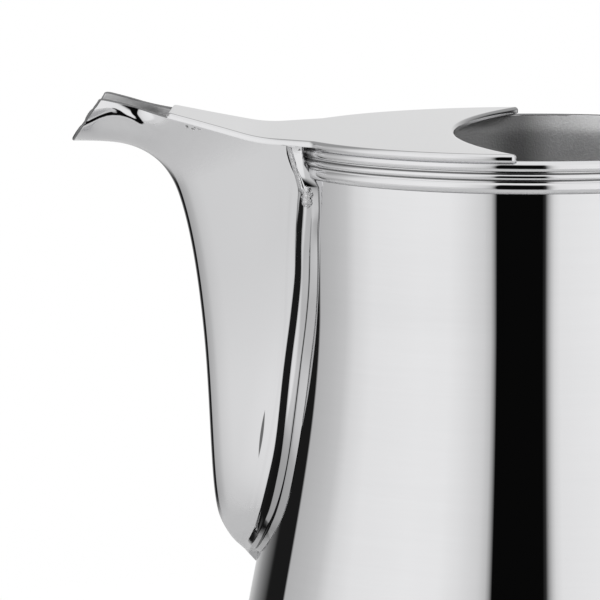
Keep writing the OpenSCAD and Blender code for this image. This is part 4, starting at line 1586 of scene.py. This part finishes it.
class POT_OT_hinge(Operator):
    """Makes the hinge bracket on the neck and the pin"""
    bl_idname = "pot.hinge"
    bl_label = "Hinge"

    def execute(self, context):
        body = read(context, "pot_body")
        hinge = read(context, "pot_hinge")
        looks = finishes(context)
        give(self.bracket(body, hinge, looks), "pot", "hinge_steel", "hinge_bracket")
        give(self.pin(hinge, looks), "pot", "hinge_steel", "hinge_pin")
        return {"FINISHED"}

    def bracket(self, body, hinge, looks):
        x, z = HINGE[0], HINGE[2]
        pad_top = collar_low(body) - 0.1 * MM
        pad_low = pad_top - hinge.pad_h
        root = body.neck_r - 0.45 * MM
        inside = body.neck_r + body.bead_out + 0.5 * MM
        outside = inside + hinge.arm_t
        k = hinge.knuckle_r
        shoulder = z - 1.5 * k
        toe = 1.6 * MM
        corners = [(root, pad_low, 0), (outside - 0.2 * MM, pad_low, toe), (outside, pad_low + toe, 1 * MM)]
        outline = rounded(corners, 0, 5)
        outline += [(outside, shoulder)]
        outline += arc((x, z), k, -20, 200, 26)
        outline += [(inside, shoulder), (inside, pad_top), (root, pad_top)]
        skin = Skin()
        half = hinge.bracket_w / 2
        skin.prism(outline, -half, half)
        piece = skin.build("bracket", [looks["fitting_steel"]])
        slot = Skin()
        slot_z = z - k - 1.75 * MM
        past = 9 * MM
        box = [(body.neck_r, slot_z), (x + past, slot_z), (x + past, z + past), (body.neck_r, z + past)]
        slot.prism(box, -hinge.ear_y, hinge.ear_y)
        cut(piece, slot.build("slot", []))
        drill(piece, hinge, 2 * half)
        soften(piece, 0.22 * MM, 3)
        return piece

    def pin(self, hinge, looks):
        x, z = HINGE[0], HINGE[2]
        low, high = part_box("hinge_pin")
        half = (high[1] - low[1]) / 2
        head = (high[0] - low[0]) / 2
        cap = half - (hinge.bracket_w / 2 + 0.05 * MM)
        dome = ((0.0, 0.0), (0.5, 0.06), (0.85, 0.3), (1.0, 0.7), (1.0, 1.0))
        profile = [(head * across, half - cap * down) for across, down in dome]
        profile += [(hinge.pin_r, half - cap)]
        profile += [(r, -y) for r, y in reversed(profile)]
        skin = Skin()
        skin.rod(profile, 36, x, z)
        return skin.build("hinge_pin_rod", [looks["fitting_steel"]], 40)


class POT_OT_rivets(Operator):
    """Makes the lid's rivets and the handle's pins with a node group"""
    bl_idname = "pot.rivets"
    bl_label = "Rivets and pins"

    sides = 32

    def tree(self):
        group, wire, given = geometry_tree("rivet_row", (
            ("Rivet", "Object"), ("Count", "Int"), ("Start", "Vector"), ("Step", "Vector"),
            ("Material", "Material"),
        ))
        spots = wire.add("GeometryNodeMeshLine", {"mode": "OFFSET"}, {
            "Count": given["Count"], "Start Location": given["Start"], "Offset": given["Step"],
        })
        rivet = wire.add("GeometryNodeObjectInfo", None, {"Object": given["Rivet"]}, 4)
        row = wire.add("GeometryNodeInstanceOnPoints", None, {"Points": spots, "Instance": rivet})
        finish_tree(wire, row, given["Material"])
        return group

    def cap(self, radius, place, height):
        """Profile of a dome, from its edge to its top."""
        angles = [math.radians(15 * k) for k in range(7)]
        return [(radius * math.cos(a), place + height * math.sin(a)) for a in angles]

    def execute(self, context):
        body = read(context, "pot_body")
        cover = read(context, "pot_cover")
        hinge = read(context, "pot_hinge")
        grip = read(context, "pot_handle")
        looks = finishes(context)
        group = self.tree()
        low = cover.lid_z - 0.1 * MM
        high = cover.lid_z + cover.lid_t + hinge.leaf_t + hinge.lever_t + 0.05 * MM
        shank = [(hinge.rivet_r, low), (hinge.rivet_r, high)]
        head = self.cap(hinge.head_r, high, hinge.head_h)
        tail = self.cap(hinge.head_r, low, -hinge.head_h)[::-1]
        upright = Skin()
        upright.turn(tail + shank + head, self.sides)
        rivet = upright.build("rivet", [], 40)
        rivets = grown("lid_rivet_row", group, {
            "Rivet": rivet,
            "Count": hinge.rivet_count,
            "Start": (hinge.rivet_x, 0, 0),
            "Step": (hinge.rivet_pitch, 0, 0),
            "Material": looks["fitting_steel"],
        }, opened(), 40)
        bpy.data.objects.remove(rivet)
        give(rivets, "lid", "hinge_steel", "lid_rivets")
        half = grip.socket_r + grip.pin_out
        dome = 0.5 * MM
        end = self.cap(grip.pin_r, half - dome, dome)
        crosswise = Skin()
        crosswise.rod([(r, -y) for r, y in reversed(end)] + end, self.sides)
        pin = crosswise.build("pin", [], 40)
        upper = (body.neck_r + grip.socket_len - grip.tang_len / 2, 0, grip.upper_z)
        lower = (body_radius(body, grip.lower_z) + grip.socket_len - grip.tang_len / 2, 0, grip.lower_z)
        pins = grown("handle_pin_pair", group, {
            "Rivet": pin,
            "Count": 2,
            "Start": upper,
            "Step": (lower[0] - upper[0], 0, lower[2] - upper[2]),
            "Material": looks["grip_steel"],
        }, None, 40)
        bpy.data.objects.remove(pin)
        give(pins, "pot", "handle_steel", "handle_pins")
        return {"FINISHED"}


class POT_OT_handle(Operator):
    """Makes the cast handle and its two sockets"""
    bl_idname = "pot.handle"
    bl_label = "Handle"

    rings, sides = 150, 44
    tang_share = 3 / 40
    fullest = 0.62
    swell_from = 0.11
    swell_run = 0.2

    def execute(self, context):
        body = read(context, "pot_body")
        grip = read(context, "pot_handle")
        looks = finishes(context)
        give(self.bar(body, grip, looks), "pot", "handle_steel", "handle")
        for name, node, z in (
            ("handle_socket_upper", "upper_socket", grip.upper_z),
            ("handle_socket_lower", "lower_socket", grip.lower_z),
        ):
            give(self.socket(name, body, grip, looks, z), "pot", "handle_steel", node)
        return {"FINISHED"}

    def line(self, body, grip, v):
        """Centre line of the handle: straight in the sockets, two curves round the fingers."""
        part = self.tang_share
        a = Vector((body.neck_r + grip.socket_len, grip.upper_z))
        b = Vector((body_radius(body, grip.lower_z) + grip.socket_len, grip.lower_z))
        m = Vector((body.neck_r + grip.reach, mix(grip.lower_z, grip.upper_z, self.fullest)))
        rise = grip.upper_z - m[1]
        fall = m[1] - grip.lower_z
        t = (v - part) / (1 - 2 * part)
        if t < 0:
            return a + Vector((grip.tang_len * t * (1 - 2 * part) / part, 0))
        if t > 1:
            return b - Vector((grip.tang_len * (t - 1) * (1 - 2 * part) / part, 0))
        if t < 0.5:
            leave = Vector((mix(a[0], m[0], 0.55), a[1]))
            return bezier(a, leave, Vector((m[0], m[1] + 0.95 * rise)), m, 2 * t)
        arrive = Vector((mix(b[0], m[0], 0.5), b[1]))
        return bezier(m, Vector((m[0], m[1] - 0.62 * fall)), arrive, b, 2 * t - 1)

    def bar(self, body, grip, looks):
        skin = Skin()
        rows = []
        for i in range(self.rings + 1):
            v = i / self.rings
            e = 0.002
            run = (self.line(body, grip, min(1, v + e)) - self.line(body, grip, max(0, v - e))).normalized()
            across = Vector((-run[1], run[0]))
            p = self.line(body, grip, v)
            swell = ease((min(v, 1 - v) - self.swell_from) / self.swell_run)
            a = mix(grip.tang_r, grip.grip_t, swell)
            b = mix(grip.tang_r, grip.grip_w, swell)
            ring = [(a * c, b * s) for c, s in circle(self.sides)]
            rows.append(skin.row((p[0] + across[0] * c, y, p[1] + across[1] * c) for c, y in ring))
        skin.tube(rows)
        return skin.build("handle_bar", [looks["grip_steel"]], 50)

    def socket(self, name, body, grip, looks, z):
        """A flared cup: its root follows the body, its mouth has a rounded rim and holds the tang."""
        end = body_radius(body, z) + grip.socket_len
        sides = 64
        rim = 0.5 * MM
        bore = grip.tang_r + 0.1 * MM
        outline = [(grip.socket_r + grip.flare * (1 - ease(k / 10)) ** 2, k / 10 * 0.8) for k in range(11)]
        skin = Skin()
        rows = []

        def ring(radius, place):
            points = [(radius * s, radius * c) for c, s in circle(sides)]
            return skin.row((place(y, h), y, z + h) for y, h in points)

        def surface(y, h):
            r = body_radius(body, z + h)
            return math.sqrt(r * r - y * y) + 0.03 * MM

        for r, f in outline:
            rows.append(ring(r, lambda y, h, f=f: mix(surface(y, h), end - rim, f)))
        for a, b in arc((grip.socket_r - rim, end - rim), rim, 0, 90, 5):
            rows.append(ring(a, lambda y, h, b=b: b))
        for a, b in arc((bore + 0.2 * MM, end - 0.2 * MM), 0.2 * MM, 90, 180, 3):
            rows.append(ring(a, lambda y, h, b=b: b))
        floor = end - grip.tang_len - 0.1 * MM
        rows.append(ring(bore, lambda y, h: floor))
        rows.append(ring(0.0, lambda y, h: floor))
        skin.loft(rows, True)
        skin.face(rows[0][::-1])
        return skin.build(name, [looks["grip_steel"]], 40)


# Brightness of the tent by direction, in degrees from the camera's side.
STUDIO = (
    (-180, 0.8), (-161, 0.5), (-153, 0.31), (-146, 0.18), (-141, 0.09), (-137.5, 0.012), (-122.2, 0.012),
    (-121.3, 0.53), (-108, 0.60), (-100, 0.67), (-93, 0.83), (-81.5, 0.94), (-54, 0.99), (-40, 0.98),
    (-32, 0.90), (-23, 0.77), (-18.6, 0.56), (-17.7, 0.003), (5.4, 0.003), (6.1, 0.1), (6.9, 0.36),
    (8, 0.6), (10, 0.84), (12.5, 0.93), (34, 1.0), (60, 0.85), (98, 0.6), (122, 0.55), (124, 0.02),
    (137, 0.02), (146, 0.2), (180, 0.8),
)
BACK_TONE = 0.36
ROOF_TONE = 0.92
GROUND_TONE = 0.7
FLOOR_GLOW = 0.5


class POT_OT_stage(Operator):
    """Makes the floor, the studio's light and the camera"""
    bl_idname = "pot.stage"
    bl_label = "Stage"

    def execute(self, context):
        stage = read(context, "pot_stage")
        self.camera(context, stage)
        self.studio(context)
        self.floor(stage)
        context.scene.view_settings.view_transform = "Standard"
        return {"FINISHED"}

    def camera(self, context, stage):
        data = bpy.data.cameras.new("camera")
        data.lens = stage.lens
        data.sensor_width = 36
        place = Vector((0, -stage.distance, stage.height))
        ahead = (Vector((stage.aim_x, 0, stage.aim_z)) - place).normalized()
        right = Vector((1, 0, 0))
        right = (right - ahead * right.dot(ahead)).normalized()
        up = right.cross(ahead)
        c, s = math.cos(stage.roll), math.sin(stage.roll)
        right, up = right * c + up * s, up * c - right * s
        camera = bpy.data.objects.new("camera", data)
        camera.matrix_world = Matrix((
            (right[0], up[0], -ahead[0], place[0]),
            (right[1], up[1], -ahead[1], place[1]),
            (right[2], up[2], -ahead[2], place[2]),
            (0, 0, 0, 1),
        ))
        context.scene.collection.objects.link(camera)
        context.scene.camera = camera

    def studio(self, context):
        """A white tent with the camera's dark gap and a dark card at each side behind the pot."""
        world = bpy.data.worlds.new("studio")
        world.use_nodes = True
        tree = world.node_tree
        tree.nodes.clear()
        wire = Wire(tree)
        way = wire.add("ShaderNodeTexCoord", None, None, 0)
        x, y, z = (way.part(i) for i in range(3))
        azimuth = x.math("ARCTAN2", x, 0 - y) / math.tau + 0.5
        tent = wire.add(
            "ShaderNodeValToRGB",
            {"stops": [(place / 360 + 0.5, tone) for place, tone in STUDIO]},
            {0: azimuth},
        )
        low = 0.2 * (0 - z).step(0.10, 0.26) * (0 - x).step(0.0, 0.3)
        tent = low.over(tent, 0)
        behind = abs(azimuth - 0.5).step(0.27, 0.35)
        dark = behind * z.step(0.06, 0.36) * (1 - z.step(0.6, 0.9))
        tent = dark.over(tent, BACK_TONE)
        above = z.step(math.sin(math.radians(32)), math.sin(math.radians(56))) * (1 - dark)
        below = (0 - z).step(math.sin(math.radians(22)), math.sin(math.radians(45)))
        tent = above.over(tent, ROOF_TONE)
        tent = below.over(tent, GROUND_TONE)
        seen = wire.add("ShaderNodeLightPath", None, None, "Is Camera Ray")
        light = seen.over(tent, 1)
        sky = wire.add("ShaderNodeBackground", None, {"Color": light, "Strength": 1.0})
        wire.add("ShaderNodeOutputWorld", None, {"Surface": sky})
        context.scene.world = world

    def floor(self, stage):
        skin = Skin()
        skin.turn([(0.0, 0), (stage.floor_fade, 0), (stage.floor_r, 0)], 96)
        material = bpy.data.materials.new("pale_floor")
        material.use_nodes = True
        tree = material.node_tree
        tree.nodes.clear()
        wire = Wire(tree)
        spot = wire.add("ShaderNodeTexCoord", None, None, 3)
        from_middle = wire.add("ShaderNodeVectorMath", {"operation": "LENGTH"}, {0: spot}, 1)
        mottle = spot.noise(60, 3, 0.5).tint(dimmed(stage.floor, 0.98), stage.floor)
        matt = wire.add("ShaderNodeBsdfDiffuse", None, {"Color": mottle})
        glow = wire.add("ShaderNodeEmission", None, {"Color": (1, 1, 1, 1), "Strength": FLOOR_GLOW})
        clear = wire.add("ShaderNodeBsdfTransparent")
        lit = wire.add("ShaderNodeAddShader", None, {0: matt, 1: glow})
        seen = wire.add("ShaderNodeLightPath", None, None, "Is Camera Ray")
        shown = wire.add("ShaderNodeMixShader", None, {0: seen, 1: matt, 2: lit})
        fade = from_middle.step(stage.floor_fade, stage.floor_r * 0.97)
        faded = wire.add("ShaderNodeMixShader", None, {0: fade, 1: shown, 2: clear})
        wire.add("ShaderNodeOutputMaterial", None, {"Surface": faded})
        floor = skin.build("floor", [material])
        for face in floor.data.polygons:
            if face.normal[2] < 0:
                floor.data.flip_normals()
                break


OPERATORS = (
    POT_OT_stage,
    POT_OT_body,
    POT_OT_collar,
    POT_OT_spout,
    POT_OT_strainer,
    POT_OT_lid,
    POT_OT_hinge,
    POT_OT_rivets,
    POT_OT_handle,
)


class POT_PT_panel(Panel):
    """Lists the pot's sizes and what makes its pieces"""
    bl_idname = "POT_PT_panel"
    bl_label = "Coffee pot"
    bl_space_type = "VIEW_3D"
    bl_region_type = "UI"
    bl_category = "Coffee pot"

    def draw(self, context):
        for maker in OPERATORS:
            self.layout.operator(maker.bl_idname)
        for name, group in GROUPS.items():
            box = self.layout.box()
            for key in group.__annotations__:
                box.prop(getattr(context.scene, name), key)


CLASSES = tuple(GROUPS.values()) + OPERATORS + (POT_PT_panel,)


def register():
    for item in CLASSES:
        bpy.utils.register_class(item)
    for name, group in GROUPS.items():
        setattr(bpy.types.Scene, name, PointerProperty(type=group))


def unregister():
    for name in GROUPS:
        delattr(bpy.types.Scene, name)
    for item in reversed(CLASSES):
        bpy.utils.unregister_class(item)


def main():
    register()
    for maker in OPERATORS:
        group, action = maker.bl_idname.split(".")
        getattr(getattr(bpy.ops, group), action)()


if __name__ == "__main__":
    main()
